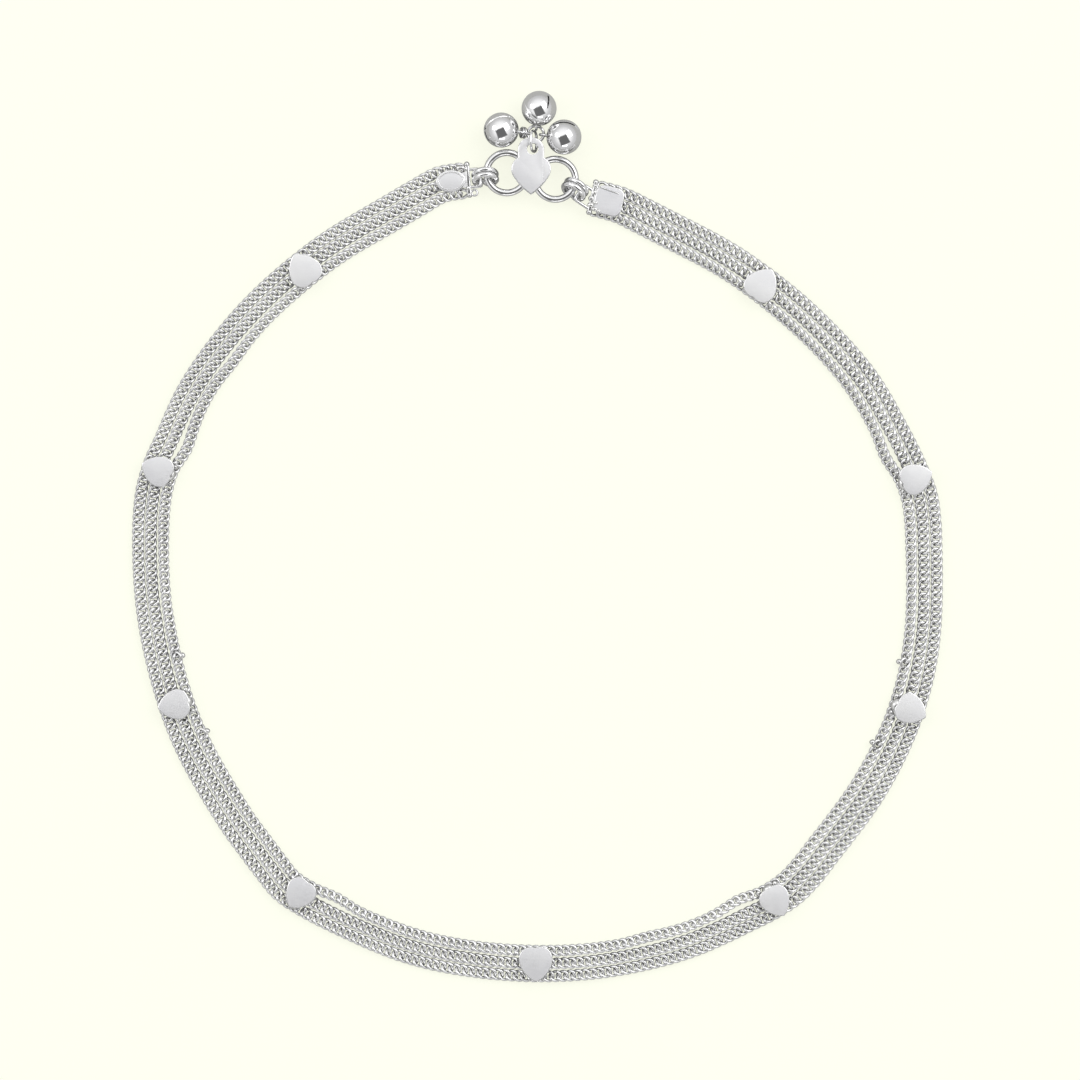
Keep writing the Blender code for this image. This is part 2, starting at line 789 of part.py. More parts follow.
def tab_hole_centre():
    tab_top = CLASP_RISE + TAB_LENGTH
    return CLASP_CENTRE + Vector((HOLE_SHIFT, tab_top - TAB_MARGIN - TAB_HOLE / 2))


def link_far_side():
    return CLASP_CENTRE.y + CLASP_RISE + TAB_LENGTH + LINK_REACH


def bell_ring_centre():
    return Vector((tab_hole_centre().x + BELL_RING_SHIFT, link_far_side() - BELL_RING_BACK))


def make_clasp_link(builder):
    near = tab_hole_centre().y - LINK_NEAR_SHIFT
    far = link_far_side()
    low = BELL_RING_LEVEL - BELL_RING_WIRE / 2 - SEAT_GAP - LINK_WIRE / 2
    top = CLASP_LEVEL + CLASP_THICKNESS + FACE_THICKNESS
    high = top + LINK_GAP + LINK_WIRE / 2 + LINK_TOP_ROOM
    middle = Vector((tab_hole_centre().x + LINK_SHIFT, (near + far) / 2))
    place = placed(middle, (low + high) / 2)
    lean = Matrix.Rotation(math.radians(LINK_LEAN), 4, "Y")
    points = link_points((far - near) / 2, (high - low) / 2)
    builder.wire("clasp_link", points, LINK_WIRE, "silver_polished", closed=True, matrix=place @ lean)


def make_bell_ring(builder):
    matrix = placed(bell_ring_centre(), BELL_RING_LEVEL)
    builder.ring("bell_ring", BELL_RING_DIAMETER, BELL_RING_WIRE, "silver_polished", matrix)


def make_bells(builder):
    """Each bell is a hollow ball with a slit, and a bail round the wire of the bell ring."""
    finish = "silver_polished"
    ring_radius = (BELL_RING_DIAMETER - BELL_RING_WIRE) / 2
    bail_radius = BELL_RING_WIRE / 2 + BAIL_ROOM + BAIL_WIRE / 2
    radius = BELL_DIAMETER / 2
    for name, bell in BELLS.items():
        away = direction(bell["bearing"])
        middle = lifted(bell_ring_centre() + bell["distance"] * MM * away, radius)
        held = lifted(bell_ring_centre() + ring_radius * away, BELL_RING_LEVEL)
        frame = frame_along(held, middle)
        length = (middle - held).length - (radius - BELL_WALL / 2) - bail_radius
        upright = Matrix.Translation(middle)
        ball = builder.ball(f"bell_{name}", BELL_DIAMETER, finish, upright)
        hollow = builder.ball(
            f"bell_hollow_{name}",
            BELL_DIAMETER - 2 * BELL_WALL,
            finish,
            upright,
            HOLLOW_STEPS,
            HOLLOW_RINGS,
        )
        heading = turned(bell["bearing"] + bell["slit_swing"])
        rise = Matrix.Rotation(math.radians(-bell["slit_rise"]), 4, "Y")
        roll = Matrix.Rotation(math.radians(bell["slit_turn"]), 4, "X")
        reach = Matrix.Translation((radius, 0, 0))
        slit = builder.drum(
            f"bell_slit_{name}",
            2 * bell["slit_reach"] * MM,
            BELL_SLIT,
            finish,
            upright @ heading @ rise @ roll @ reach,
        )
        bail = builder.wire(
            f"bail_{name}",
            bail_points(bail_radius, length),
            BAIL_WIRE,
            finish,
            closed=True,
            matrix=frame,
        )
        builder.combine(ball, builder.solid(bail), "UNION")
        builder.combine(ball, hollow, "DIFFERENCE")
        builder.combine(ball, slit, "DIFFERENCE")


def centre_on_origin(builder):
    """Moves everything so that the origin is the middle of the footprint on the surface."""
    graph = bpy.context.evaluated_depsgraph_get()
    points = []
    for made in builder.parts.objects:
        evaluated = made.evaluated_get(graph)
        mesh = evaluated.to_mesh()
        points += [made.matrix_world @ vertex.co for vertex in mesh.vertices]
        evaluated.to_mesh_clear()
    low = Vector([min(point[axis] for point in points) for axis in range(3)])
    high = Vector([max(point[axis] for point in points) for axis in range(3)])
    shift = Vector(((low.x + high.x) / 2, (low.y + high.y) / 2, low.z))
    for made in [*builder.parts.objects, *builder.cutters.objects]:
        made.location -= shift


def main():
    clear_scene()
    builder = Builder()
    line = band_line()
    make_strands(builder, line)
    make_heart_plates(builder, line)
    make_end_plates(builder)
    make_double_rings(builder)
    make_clasp_rings(builder)
    make_heart_clasp(builder)
    make_clasp_link(builder)
    make_bell_ring(builder)
    make_bells(builder)
    bpy.context.view_layer.update()
    centre_on_origin(builder)


main()
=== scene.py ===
"""Looks of the waist chain: curb chains, satin heart plates, polished rings and bells."""

import json
import math

import bmesh
import bpy
import numpy as np
from mathutils import Matrix, Vector

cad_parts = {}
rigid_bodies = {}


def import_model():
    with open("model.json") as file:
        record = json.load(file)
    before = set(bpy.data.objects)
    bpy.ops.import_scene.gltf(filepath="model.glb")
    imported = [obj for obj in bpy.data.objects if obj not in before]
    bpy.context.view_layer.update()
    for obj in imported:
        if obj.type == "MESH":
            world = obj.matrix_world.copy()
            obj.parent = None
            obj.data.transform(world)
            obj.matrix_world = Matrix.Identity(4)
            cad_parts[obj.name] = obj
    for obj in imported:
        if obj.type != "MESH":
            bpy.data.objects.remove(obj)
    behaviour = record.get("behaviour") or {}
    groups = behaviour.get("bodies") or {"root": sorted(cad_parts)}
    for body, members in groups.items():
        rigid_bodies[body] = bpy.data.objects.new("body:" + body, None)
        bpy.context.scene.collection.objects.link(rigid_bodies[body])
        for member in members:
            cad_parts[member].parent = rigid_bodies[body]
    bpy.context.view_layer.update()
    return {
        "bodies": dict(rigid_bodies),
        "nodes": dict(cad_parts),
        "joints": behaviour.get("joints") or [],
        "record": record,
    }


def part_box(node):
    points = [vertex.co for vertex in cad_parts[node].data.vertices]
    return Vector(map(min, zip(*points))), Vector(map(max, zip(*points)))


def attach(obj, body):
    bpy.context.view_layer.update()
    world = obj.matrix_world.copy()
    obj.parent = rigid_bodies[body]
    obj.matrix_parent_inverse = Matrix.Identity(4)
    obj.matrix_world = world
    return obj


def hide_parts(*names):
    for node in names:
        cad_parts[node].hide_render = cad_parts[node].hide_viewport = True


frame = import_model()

MM = 0.001
SEED = 7
RANDOM = np.random.default_rng(SEED)

# Band of three strands, as in the part
STRAND_PITCH = 2.4 * MM
STRAND_POINT_SPACING = 4.8 * MM
BULGE_REACH = 3.2 * MM
HEART_WIDTH = 6.4 * MM
HEART_LENGTH = 6.7 * MM
HEART_THICKNESS = 0.5 * MM
HEART_LOBE_SHARE = 0.36
HEART_LOBE_END = -10.0
HEART_EDGE = 0.14 * MM
PLATE_LEVEL = 2.35 * MM

# Solder under each heart: lumps on the strands, and two smaller ones at its inner end
SOLDER_LEVEL = 1.75 * MM
SOLDER_HALF = (1.0 * MM, 1.3 * MM, 0.85 * MM)
SOLDER_SPREAD = 0.86
BLOB_PLACE = 2.5 * MM
BLOB_SPREAD = (1.5, 2.3)
BLOB_HALF = (0.42, 0.62)
BLOB_FLATTENING = 0.9

# Curb links: wire, half sizes of the wire's middle, twist height and spacing
LINK_WIRE_DIAMETER = 0.56 * MM
LINK_HALF_LENGTH = 1.02 * MM
LINK_HALF_WIDTH = 0.89 * MM
LINK_TWIST = 0.35 * MM
LINK_PITCH = 1.36 * MM
LINK_STEPS = 24
LINK_SIDES = 10
LINK_CLEARANCE = 0.02 * MM
ROLL_SPREAD = 1.2
LEVELLED_LINKS = 9
LUMP_STEPS = 20

# Clasp
RING_DIAMETER = 8.9 * MM
RING_WIRE = 1.3 * MM
RING_SPACING = 0.35 * MM
CLASP_LINE_TURN = -7.6
CLASP_CENTRE = Vector((-1.3 * MM, 68.35 * MM))
CLASP_WIDTH = 7.5 * MM
CLASP_LENGTH = 7.3 * MM
CLASP_RISE = 3.7 * MM
CLASP_THICKNESS = 0.5 * MM
CLASP_LOBE_SHARE = 0.33
CLASP_LOBE_END = -30.0
CLASP_EDGE = 0.14 * MM
TAB_WIDTH = 5.0 * MM
TAB_LENGTH = 3.6 * MM
TAB_HOLE = 2.1 * MM
TAB_MARGIN = 1.25 * MM
HOLE_SHIFT = 0.3 * MM
FACE_THICKNESS = 0.3 * MM
FACE_MARGIN = 0.2 * MM
FACE_SINK = 0.1 * MM
FACE_EDGE = 0.07 * MM
STAPLE_WIRE = 0.8 * MM
STAPLE_BEND = 0.6 * MM
STAPLE_OPENING = 0.3 * MM
SEAT_GAP = 0.25 * MM
LINK_GAP = 0.2 * MM
COIL_WIRE = 1.0 * MM
COIL_TURN_GAP = 0.12 * MM
COIL_LEAN = 26.0
COIL_CROSSING = 60.0
HOLE_SLACK = 1.3 * MM
RING_ROOM = 0.6 * MM
RING_DROP = 0.2 * MM
EYE_WIRE = 0.6 * MM
EYE_SIDE_ROOM = 0.3 * MM
EYE_GAP = 0.35 * MM
BAR_LENGTH = 5.8 * MM
BAR_THICKNESS = 0.8 * MM
BAR_FOOT = 0.3 * MM
BAR_RIM = 0.05 * MM
BAR_CORNER = 0.3 * MM
BAR_EDGE = 0.2 * MM
PLATE_THICKNESS = 0.5 * MM
PLATE_EDGE = 0.16 * MM
PLATE_GAP = 0.05 * MM
STRAIGHT_END = 3.5 * MM
BEAD_DIAMETER = 1.1 * MM
BEAD_SINK = 0.37 * MM
DISC_LENGTH = 5.6 * MM
DISC_WIDTH = 4.2 * MM
TONGUE_LENGTH = 5.4 * MM
TONGUE_WIDTH = 5.5 * MM
TONGUE_CORNER = 1.5 * MM
NECK_WIDTH = 3.0 * MM
NECK_OVERLAP = 0.6 * MM
NECK_THICKNESS = 0.3 * MM
NECK_CORNER = 0.3 * MM
NECK_EDGE = 0.08 * MM
NECK_LIFT = 0.1 * MM

# Bell ring, link and bells
BELL_RING_DIAMETER = 3.6 * MM
BELL_RING_WIRE = 0.55 * MM
BELL_RING_LEVEL = 1.2 * MM
BELL_RING_SHIFT = 0.55 * MM
BELL_RING_BACK = 0.5 * MM
OVAL_WIRE = 0.5 * MM
OVAL_REACH = 1.2 * MM
OVAL_TOP_ROOM = 0.3 * MM
OVAL_NEAR_SHIFT = 0.4 * MM
OVAL_SHIFT = 0.2 * MM
OVAL_LEAN = -14.0
OVAL_ROUNDNESS = 2.6
BELL_DIAMETER = 6.6 * MM
BELL_WALL = 0.15 * MM
BELL_SLIT = 0.35 * MM
SEAM_DEPTH = 0.12 * MM
SEAM_WIDTH = 2.2
BAIL_WIRE = 0.5 * MM
BAIL_ROOM = 0.15 * MM
TURN_WIRE = 0.4 * MM
SLIT_EDGE = 0.05 * MM

# Cap where a bail joins its bell, from its pole out: reach and height in mm
COLLAR = ((0.0, -0.1), (0.55, -0.06), (0.8, 0.06), (0.86, 0.3), (0.0, 0.35))

# Middle of the band, from the left end plate down and round to the right one
ROUTE = (
    (-27.8, 61.4),
    (-40.9, 53.3),
    (-53.4, 42.4),
    (-63.6, 29.4),
    (-69.2, 17.8),
    (-72.1, 10.6),
    (-73.1, 1.6),
    (-72.5, -12.4),
    (-69.8, -26.1),
    (-65.1, -39.1),
    (-57.5, -52.3),
    (-51.4, -60.6),
    (-47.3, -65.7),
    (-37.1, -71.5),
    (-22.7, -77.3),
    (-6.4, -80.0),
    (10.2, -79.8),
    (26.5, -76.4),
    (39.6, -70.7),
    (47.6, -66.1),
    (53.6, -59.2),
    (62.8, -46.6),
    (69.4, -32.6),
    (72.6, -17.6),
    (72.7, 2.8),
    (71.1, 10.4),
    (67.4, 18.5),
    (60.4, 30.4),
    (49.4, 42.1),
    (36.9, 51.7),
    (24.0, 58.7),
)

# Heart plates: share along the band, how far out of its middle in mm, turn from square, and
# size beside the largest
HEARTS = (
    {"share": 0.0807, "out": 0.1, "turn": -4.6, "size": 0.98},
    {"share": 0.1895, "out": 0.6, "turn": -6.5, "size": 0.91},
    {"share": 0.2920, "out": 0.6, "turn": -7.8, "size": 0.90},
    {"share": 0.3912, "out": 0.0, "turn": -0.3, "size": 0.90},
    {"share": 0.4994, "out": 0.1, "turn": 3.5, "size": 1.00},
    {"share": 0.6078, "out": 0.6, "turn": -2.5, "size": 0.90},
    {"share": 0.7097, "out": 1.0, "turn": -9.3, "size": 0.90},
    {"share": 0.8102, "out": 0.7, "turn": 2.0, "size": 0.92},
    {"share": 0.9185, "out": 0.1, "turn": 2.4, "size": 0.98},
)
BULGES = (
    {"share": 0.129, "off": 0.35},
    {"share": 0.173, "off": 0.70},
    {"share": 0.405, "off": 0.55},
    {"share": 0.552, "off": 0.30},
    {"share": 0.592, "off": 0.60},
    {"share": 0.825, "off": 0.65},
)
ENDS = {
    "left": {"side": -1, "pull": 192.0, "coil": 184.0, "way": 188.0, "plate": 185.0},
    "right": {"side": 1, "pull": -27.5, "coil": -33.0, "way": -24.0, "plate": -13.0},
}
# Bells: where their middle is from the middle of the bell ring. Then their slit: its swing from
# that bearing, its rise above level, its turn from lying level, and its reach each way. Then the
# way that its seam faces, and where its bail has turns of wire
BELLS = {
    "top": {
        "bearing": 82.0,
        "distance": 4.75,
        "slit_swing": -49.0,
        "slit_rise": 50.0,
        "slit_turn": -45.0,
        "slit_reach": 1.4,
        "seam": (0.55, 0.62, 0.56),
        "turns": (),
    },
    "left": {
        "bearing": 174.5,
        "distance": 6.5,
        "slit_swing": 21.0,
        "slit_rise": 22.0,
        "slit_turn": 0.0,
        "slit_reach": 1.6,
        "seam": (0.26, -0.67, 0.69),
        "turns": (0.45, 0.75),
    },
    "right": {
        "bearing": -7.5,
        "distance": 5.4,
        "slit_swing": 99.5,
        "slit_rise": 36.0,
        "slit_turn": -4.0,
        "slit_reach": 2.25,
        "seam": (-0.05, -0.59, 0.80),
        "turns": (),
    },
}

# Strands: rank from the middle one outwards, roll of the links in degrees, how much the roll
# wanders, and over how many links
STRANDS = (
    {"name": "outer", "rank": 1, "roll": 10.0, "wander": 12.0, "over": 41.0, "phase": 0.4},
    {"name": "middle", "rank": 0, "roll": 16.0, "wander": 14.0, "over": 57.0, "phase": 2.1},
    {"name": "inner", "rank": -1, "roll": 36.0, "wander": 14.0, "over": 49.0, "phase": 4.0},
)

# Solder on the end plates: along the plate from its bar and across it, and half size, all in mm
END_LUMPS = {
    "left": (
        {"along": 1.2, "across": -2.3, "half": (0.85, 0.50, 0.40)},
        {"along": 0.2, "across": -2.0, "half": (0.45, 0.50, 0.40)},
        {"along": 0.1, "across": 1.6, "half": (0.42, 0.55, 0.35)},
    ),
    "right": (
        {"along": -0.2, "across": -0.3, "half": (0.50, 0.62, 0.42)},
        {"along": 0.0, "across": -1.5, "half": (0.62, 0.55, 0.45)},
        {"along": 0.9, "across": -2.1, "half": (0.60, 0.45, 0.42)},
        {"along": 0.8, "across": -0.9, "half": (0.48, 0.42, 0.35)},
        {"along": 0.2, "across": 0.9, "half": (0.40, 0.55, 0.35)},
        {"along": 1.7, "across": -2.3, "half": (0.45, 0.35, 0.35)},
        {"along": 0.0, "across": 2.1, "half": (0.45, 0.50, 0.40)},
    ),
}
LUMP_LEVEL = 2.75 * MM
LOOP_RADIUS = 0.55 * MM
LOOP_WIRE = 0.40 * MM
LOOP_PLACE = (-1.0 * MM, 2.55 * MM)
RIM_WIRE = 0.22 * MM
RIM_MARGIN = 0.45 * MM
FOLD_WIRE = 0.35 * MM
FOLD_ENDS = ((0.9 * MM, 2.15 * MM), (4.6 * MM, 1.75 * MM))

# Joins in the inner strand: share along the band
SPLICES = (0.272, 0.308, 0.690, 0.729)
SPLICE_LEVEL = 1.05 * MM
SPLICE_RADIUS = 0.82 * MM
SPLICE_WIRE = 0.6 * MM
SPLICE_TILT = 24.0
KNOB_REACH = 1.15 * MM
KNOB_HALF = (0.55 * MM, 0.55 * MM, 0.5 * MM)

# Metals: the noise that runs their tone from dark to light, the painted shade that darkens their
# colour where other metal is near (how far it reaches and to what share), the noise that runs
# their roughness, and their bumps. A noise is its scale and detail, and its stretch if any. A bump
# is such a noise, its height in mm and its strength
METALS = {
    "chain_silver": {
        "tone": (180.0, 2.0),
        "dark": (0.84, 0.84, 0.85),
        "light": (0.96, 0.96, 0.96),
        "corners": (0.7, 0.72),
        "grain": (900.0, 3.0),
        "rough": (0.20, 0.36),
        "bumps": (((2600.0, 3.0), 0.02, 0.35),),
    },
    "satin_silver": {
        "tone": (120.0, 4.0),
        "dark": (0.82, 0.82, 0.84),
        "light": (0.92, 0.92, 0.92),
        "grain": (700.0, 4.0, 5.0),
        "rough": (0.54, 0.66),
        "bumps": (((900.0, 5.0, 9.0), 0.006, 0.5), ((160.0, 2.0), 0.03, 0.15)),
    },
    "polished_silver": {
        "tone": (150.0, 3.0),
        "dark": (0.88, 0.88, 0.89),
        "light": (0.96, 0.96, 0.96),
        "corners": (0.8, 0.60),
        "grain": (500.0, 4.0),
        "rough": (0.05, 0.14),
        "bumps": (((300.0, 3.0), 0.02, 0.30), ((1500.0, 4.0, 6.0), 0.003, 0.4)),
    },
    "edge_silver": {
        "tone": (400.0, 3.0),
        "dark": (0.86, 0.86, 0.87),
        "light": (0.97, 0.97, 0.96),
        "grain": (900.0, 3.0),
        "rough": (0.10, 0.22),
        "bumps": (((1100.0, 3.0), 0.01, 0.4),),
    },
    "solder_silver": {
        "tone": (500.0, 3.0),
        "dark": (0.66, 0.66, 0.66),
        "light": (0.90, 0.90, 0.88),
        "corners": (0.6, 0.45),
        "grain": (800.0, 3.0),
        "rough": (0.14, 0.36),
        "bumps": (((700.0, 3.0), 0.06, 0.4),),
    },
}
NOISE_SPAN = (0.3, 0.7)
# Painted shade in the metals' colour: the span of the occlusion that is mapped, and its samples
PAINTED_SHADE_SPAN = (0.0, 0.75)
PAINTED_SHADE_SAMPLES = 6
SHARP_ANGLE = 38.0

# Studio: brightness of the tent from the floor up, and its soft boxes
WALL_LEVELS = ((0.0, 0.56), (0.35, 0.66), (0.70, 1.00), (1.0, 1.15))
SOFT_BOXES = {
    "right": {"place": (0.60, 0.42, 0.85), "size": (0.80, 0.70), "radiance": 1.7},
    "left": {"place": (-0.75, 0.25, 0.80), "size": (0.45, 0.70), "radiance": 1.3},
    "front": {"place": (0.10, -0.95, 0.50), "size": (0.60, 0.20), "radiance": 1.6},
}

# The tent's dark square opening: its lean from overhead towards the front, its turn, and how far
# from its middle its edge starts and ends, as sines
OPENING_LEAN = 24.0
OPENING_TURN = 22.0
OPENING_EDGE = (0.46, 0.56)
OPENING_LEVEL = 0.15

# Paper under the chain: its own colour and glow to the camera, and its colour to everything else
FLOOR_HALF = 4.0
PAPER_COLOUR = (0.20, 0.20, 0.19)
PAPER_GLOW = (0.99, 1.0, 0.86)
PAPER_GLOW_LEVEL = 0.84
PAPER_DIM = (0.52, 0.52, 0.50)

CAMERA_HEIGHT = 1.2
PHOTO_WIDTH = 0.2041
SENSOR_WIDTH = 36.0
VIEW_CENTRE = (0.47 * MM, -0.61 * MM)


# Plane geometry


def direction(bearing):
    turn = math.radians(bearing)
    return Vector((math.cos(turn), math.sin(turn)))


def lifted(flat, level):
    return Vector((flat[0], flat[1], level))


def bearing_of(vector):
    return math.degrees(math.atan2(vector.y, vector.x))


def rotation(degrees, axis):
    return Matrix.Rotation(math.radians(degrees), 4, axis)


def shift(x, y, z):
    return Matrix.Translation((x, y, z))


def placed(flat, level, bearing=0.0):
    return Matrix.Translation(lifted(flat, level)) @ rotation(bearing, "Z")


def arc(centre, radius, start, end, steps):
    return [
        Vector(centre) + radius * direction(start + (end - start) * step / steps)
        for step in range(steps + 1)
    ]


def tangent_arc(start, heading, end, steps):
    chord = end - start
    half_turn = math.radians(bearing_of(chord) - heading)
    radius = chord.length / (2 * math.sin(half_turn))
    points = []
    for step in range(1, steps + 1):
        swept = 2 * half_turn * step / steps
        reach = 2 * radius * math.sin(swept / 2)
        points.append(start + reach * direction(heading + math.degrees(swept / 2)))
    return points


def heart_side(width, length, lobe_share, lobe_end, top):
    """The right side of a heart, from its tip up and round its lobe to the angle top."""
    lobe = lobe_share * width
    round_part = arc((width / 2 - lobe, 0.0), lobe, lobe_end, top, 30)
    side = tangent_arc(round_part[0], lobe_end - 90.0, Vector((0.0, lobe - length)), 16)
    return list(reversed(side)) + round_part


def mirrored(half):
    return half + [Vector((-point.x, point.y)) for point in reversed(half[1:-1])]


def heart_outline(size):
    width = size * HEART_WIDTH
    length = size * HEART_LENGTH
    notch = math.degrees(math.acos(1 - 1 / (2 * HEART_LOBE_SHARE)))
    return mirrored(heart_side(width, length, HEART_LOBE_SHARE, HEART_LOBE_END, notch))


def clasp_outline(margin):
    """The clasp's heart with its tab, this much smaller all round."""
    width = CLASP_WIDTH - 2 * margin
    lobe = CLASP_LOBE_SHARE * width
    half_tab = TAB_WIDTH / 2 - margin
    shoulder = math.degrees(math.acos((half_tab - (width / 2 - lobe)) / lobe))
    length = CLASP_LENGTH - 2 * margin
    half = heart_side(width, length, CLASP_LOBE_SHARE, CLASP_LOBE_END, shoulder)
    rise = CLASP_RISE - margin - lobe
    half = [point + Vector((0.0, rise)) for point in half]
    top = CLASP_RISE + TAB_LENGTH - margin
    return mirrored(half + arc((0.0, top - half_tab), half_tab, 0.0, 90.0, 20))


def face_outline():
    """The clasp's raised face, which runs straight down on the right from its tab."""
    limit = TAB_WIDTH / 2 - FACE_MARGIN
    outline = []
    for point in clasp_outline(FACE_MARGIN):
        if point.x < limit - 1e-7 or not outline or outline[-1].x < limit - 1e-7:
            outline.append(Vector((min(point.x, limit), point.y)))
    return outline


def rounded_rectangle(length, width, corner):
    points = []
    for quarter, (x, y) in enumerate(((1, 1), (-1, 1), (-1, -1), (1, -1))):
        middle = (x * (length / 2 - corner), y * (width / 2 - corner))
        points += arc(middle, corner, 90 * quarter, 90 * quarter + 90, 10)
    return points


def oval(length, width, steps=64):
    round_line = [direction(360 * step / steps) for step in range(steps)]
    return [Vector((length / 2 * point.x, width / 2 * point.y)) for point in round_line]


def shifted(outline, along):
    return [point + Vector((along, 0.0)) for point in outline]


def smooth_curve(points, spacing):
    dense = []
    padded = [2 * points[0] - points[1], *points, 2 * points[-1] - points[-2]]
    for before, start, end, after in zip(padded, padded[1:], padded[2:], padded[3:]):
        for step in range(40):
            t = step / 40
            dense.append(
                0.5
                * (
                    2 * start
                    + (end - before) * t
                    + (2 * before - 5 * start + 4 * end - after) * t**2
                    + (3 * start - before - 3 * end + after) * t**3
                )
            )
    dense.append(points[-1])
    return evenly_spaced(dense, spacing)


def measured(points):
    """The points as an array, and how far along their line each lies."""
    flat = np.array([tuple(point) for point in points])
    steps = np.linalg.norm(np.diff(flat, axis=0), axis=1)
    return flat, np.concatenate([[0.0], np.cumsum(steps)])


def evenly_spaced(points, spacing):
    flat, along = measured(points)
    count = max(2, round(along[-1] / spacing))
    wanted = np.linspace(0.0, along[-1], count + 1)
    spaced = [np.interp(wanted, along, flat[:, axis]) for axis in range(flat.shape[1])]
    return [Vector(values) for values in zip(*spaced)]


# Layout of the clasp, as in the part

RING_RADIUS = (RING_DIAMETER - RING_WIRE) / 2
COIL_HOLE = RING_WIRE + EYE_WIRE + HOLE_SLACK
COIL_RADIUS = (COIL_HOLE + COIL_WIRE) / 2
COIL_PITCH = COIL_WIRE + COIL_TURN_GAP
COIL_WIDTH = COIL_PITCH + COIL_WIRE
EYE_REACH = COIL_HOLE / 2 - EYE_WIRE / 2 - EYE_GAP
COIL_SHIFT = COIL_HOLE / 2 - RING_WIRE / 2 - RING_ROOM
BAR_REACH = COIL_HOLE / 2 + COIL_WIRE + SEAT_GAP + BAR_THICKNESS / 2
COIL_LEVEL = (
    COIL_RADIUS * math.cos(math.radians(COIL_LEAN))
    + COIL_PITCH / 2 * math.sin(math.radians(COIL_LEAN))
    + COIL_WIRE / 2
)
RING_LEVEL = COIL_LEVEL - RING_DROP
CLASP_LEVEL = RING_LEVEL + RING_WIRE / 2 + SEAT_GAP


def ring_centre(side):
    reach = (RING_DIAMETER + RING_SPACING) / 2
    return CLASP_CENTRE + side * reach * direction(CLASP_LINE_TURN)


def frame_shift():
    """From the drawing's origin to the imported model's, read off the left clasp ring."""
    low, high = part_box("clasp_ring_left")
    middle = (low + high) / 2
    return Vector((middle.x, middle.y)) - ring_centre(-1)


SHIFT = frame_shift()
CLASP_CENTRE = CLASP_CENTRE + SHIFT


def coil_centre(end):
    return ring_centre(end["side"]) + (RING_RADIUS + COIL_SHIFT) * direction(end["pull"])


def bar_slope(end):
    """How the end bar slopes beside the coil's plane."""
    return math.tan(math.radians(end["plate"] - end["coil"]))


def bar_centre(end):
    reach = BAR_REACH + COIL_WIDTH / 2 * abs(bar_slope(end))
    return coil_centre(end) + reach * direction(end["way"])


def band_line():
    starts = []
    for end in ENDS.values():
        away = direction(end["plate"])
        first = bar_centre(end) + (BAR_THICKNESS / 2 + SEAT_GAP) * away
        starts.append([first, first + STRAIGHT_END * away])
    left, right = starts
    route = [Vector((x * MM, y * MM)) + SHIFT for x, y in ROUTE]
    return smooth_curve([*left, *route, *reversed(right)], STRAND_POINT_SPACING)


def outward(points, index):
    along = points[min(index + 1, len(points) - 1)] - points[max(index - 1, 0)]
    return Vector((along.y, -along.x)).normalized()


def place_along(points, share):
    reach = share * (len(points) - 1)
    index = min(int(reach), len(points) - 2)
    out = outward(points, index).lerp(outward(points, index + 1), reach - index).normalized()
    return points[index].lerp(points[index + 1], reach - index), out


def strand_line(line, rank):
    length = STRAND_POINT_SPACING * (len(line) - 1)
    points = []
    for index, point in enumerate(line):
        share = index / (len(line) - 1)
        stand_off = 0.0
        for bulge in BULGES:
            away = (share - bulge["share"]) * length / BULGE_REACH
            stand_off += bulge["off"] * MM * math.exp(-(away**2))
        offset = rank * STRAND_PITCH - (stand_off if rank < 0 else 0.0)
        points.append(point + offset * outward(line, index))
    return points


def tab_hole_centre():
    tab_top = CLASP_RISE + TAB_LENGTH
    return CLASP_CENTRE + Vector((HOLE_SHIFT, tab_top - TAB_MARGIN - TAB_HOLE / 2))


def link_far_side():
    return CLASP_CENTRE.y + CLASP_RISE + TAB_LENGTH + OVAL_REACH


def bell_ring_centre():
    return Vector((tab_hole_centre().x + BELL_RING_SHIFT, link_far_side() - BELL_RING_BACK))


# Materials


def node(tree, kind, inputs=None, **settings):
    """A new node with these settings, and inputs that are values or other nodes' outputs."""
    made = tree.nodes.new(f"ShaderNode{kind}")
    for name, value in settings.items():
        setattr(made, name, value)
    for name, value in (inputs or {}).items():
        if isinstance(value, bpy.types.NodeSocket):
            tree.links.new(value, made.inputs[name])
        else:
            made.inputs[name].default_value = value
    return made


def noise(tree, place, scale, detail, stretch=1.0):
    """Soft noise, finer along Y by the stretch."""
    mapping = node(tree, "Mapping", {"Vector": place, "Scale": (1.0, stretch, 1.0)})
    inputs = {"Vector": mapping.outputs["Vector"], "Scale": scale, "Detail": detail}
    return node(tree, "TexNoise", inputs).outputs["Fac"]


def spread(tree, value, span, low, high, **settings):
    """The value moved from the span to low and high."""
    inputs = {"From Min": span[0], "From Max": span[1], "To Min": low, "To Max": high}
    return node(tree, "MapRange", {"Value": value, **inputs}, **settings).outputs["Result"]


def ramp(tree, value, stops):
    """The colour at this value, between stops of place and colour."""
    made = node(tree, "ValToRGB", {"Fac": value})
    elements = made.color_ramp.elements
    while len(elements) < len(stops):
        elements.new(0.5)
    for number, (place, colour) in enumerate(stops):
        elements[number].position = place
        elements[number].color = (*colour, 1.0)
    return made.outputs["Color"]


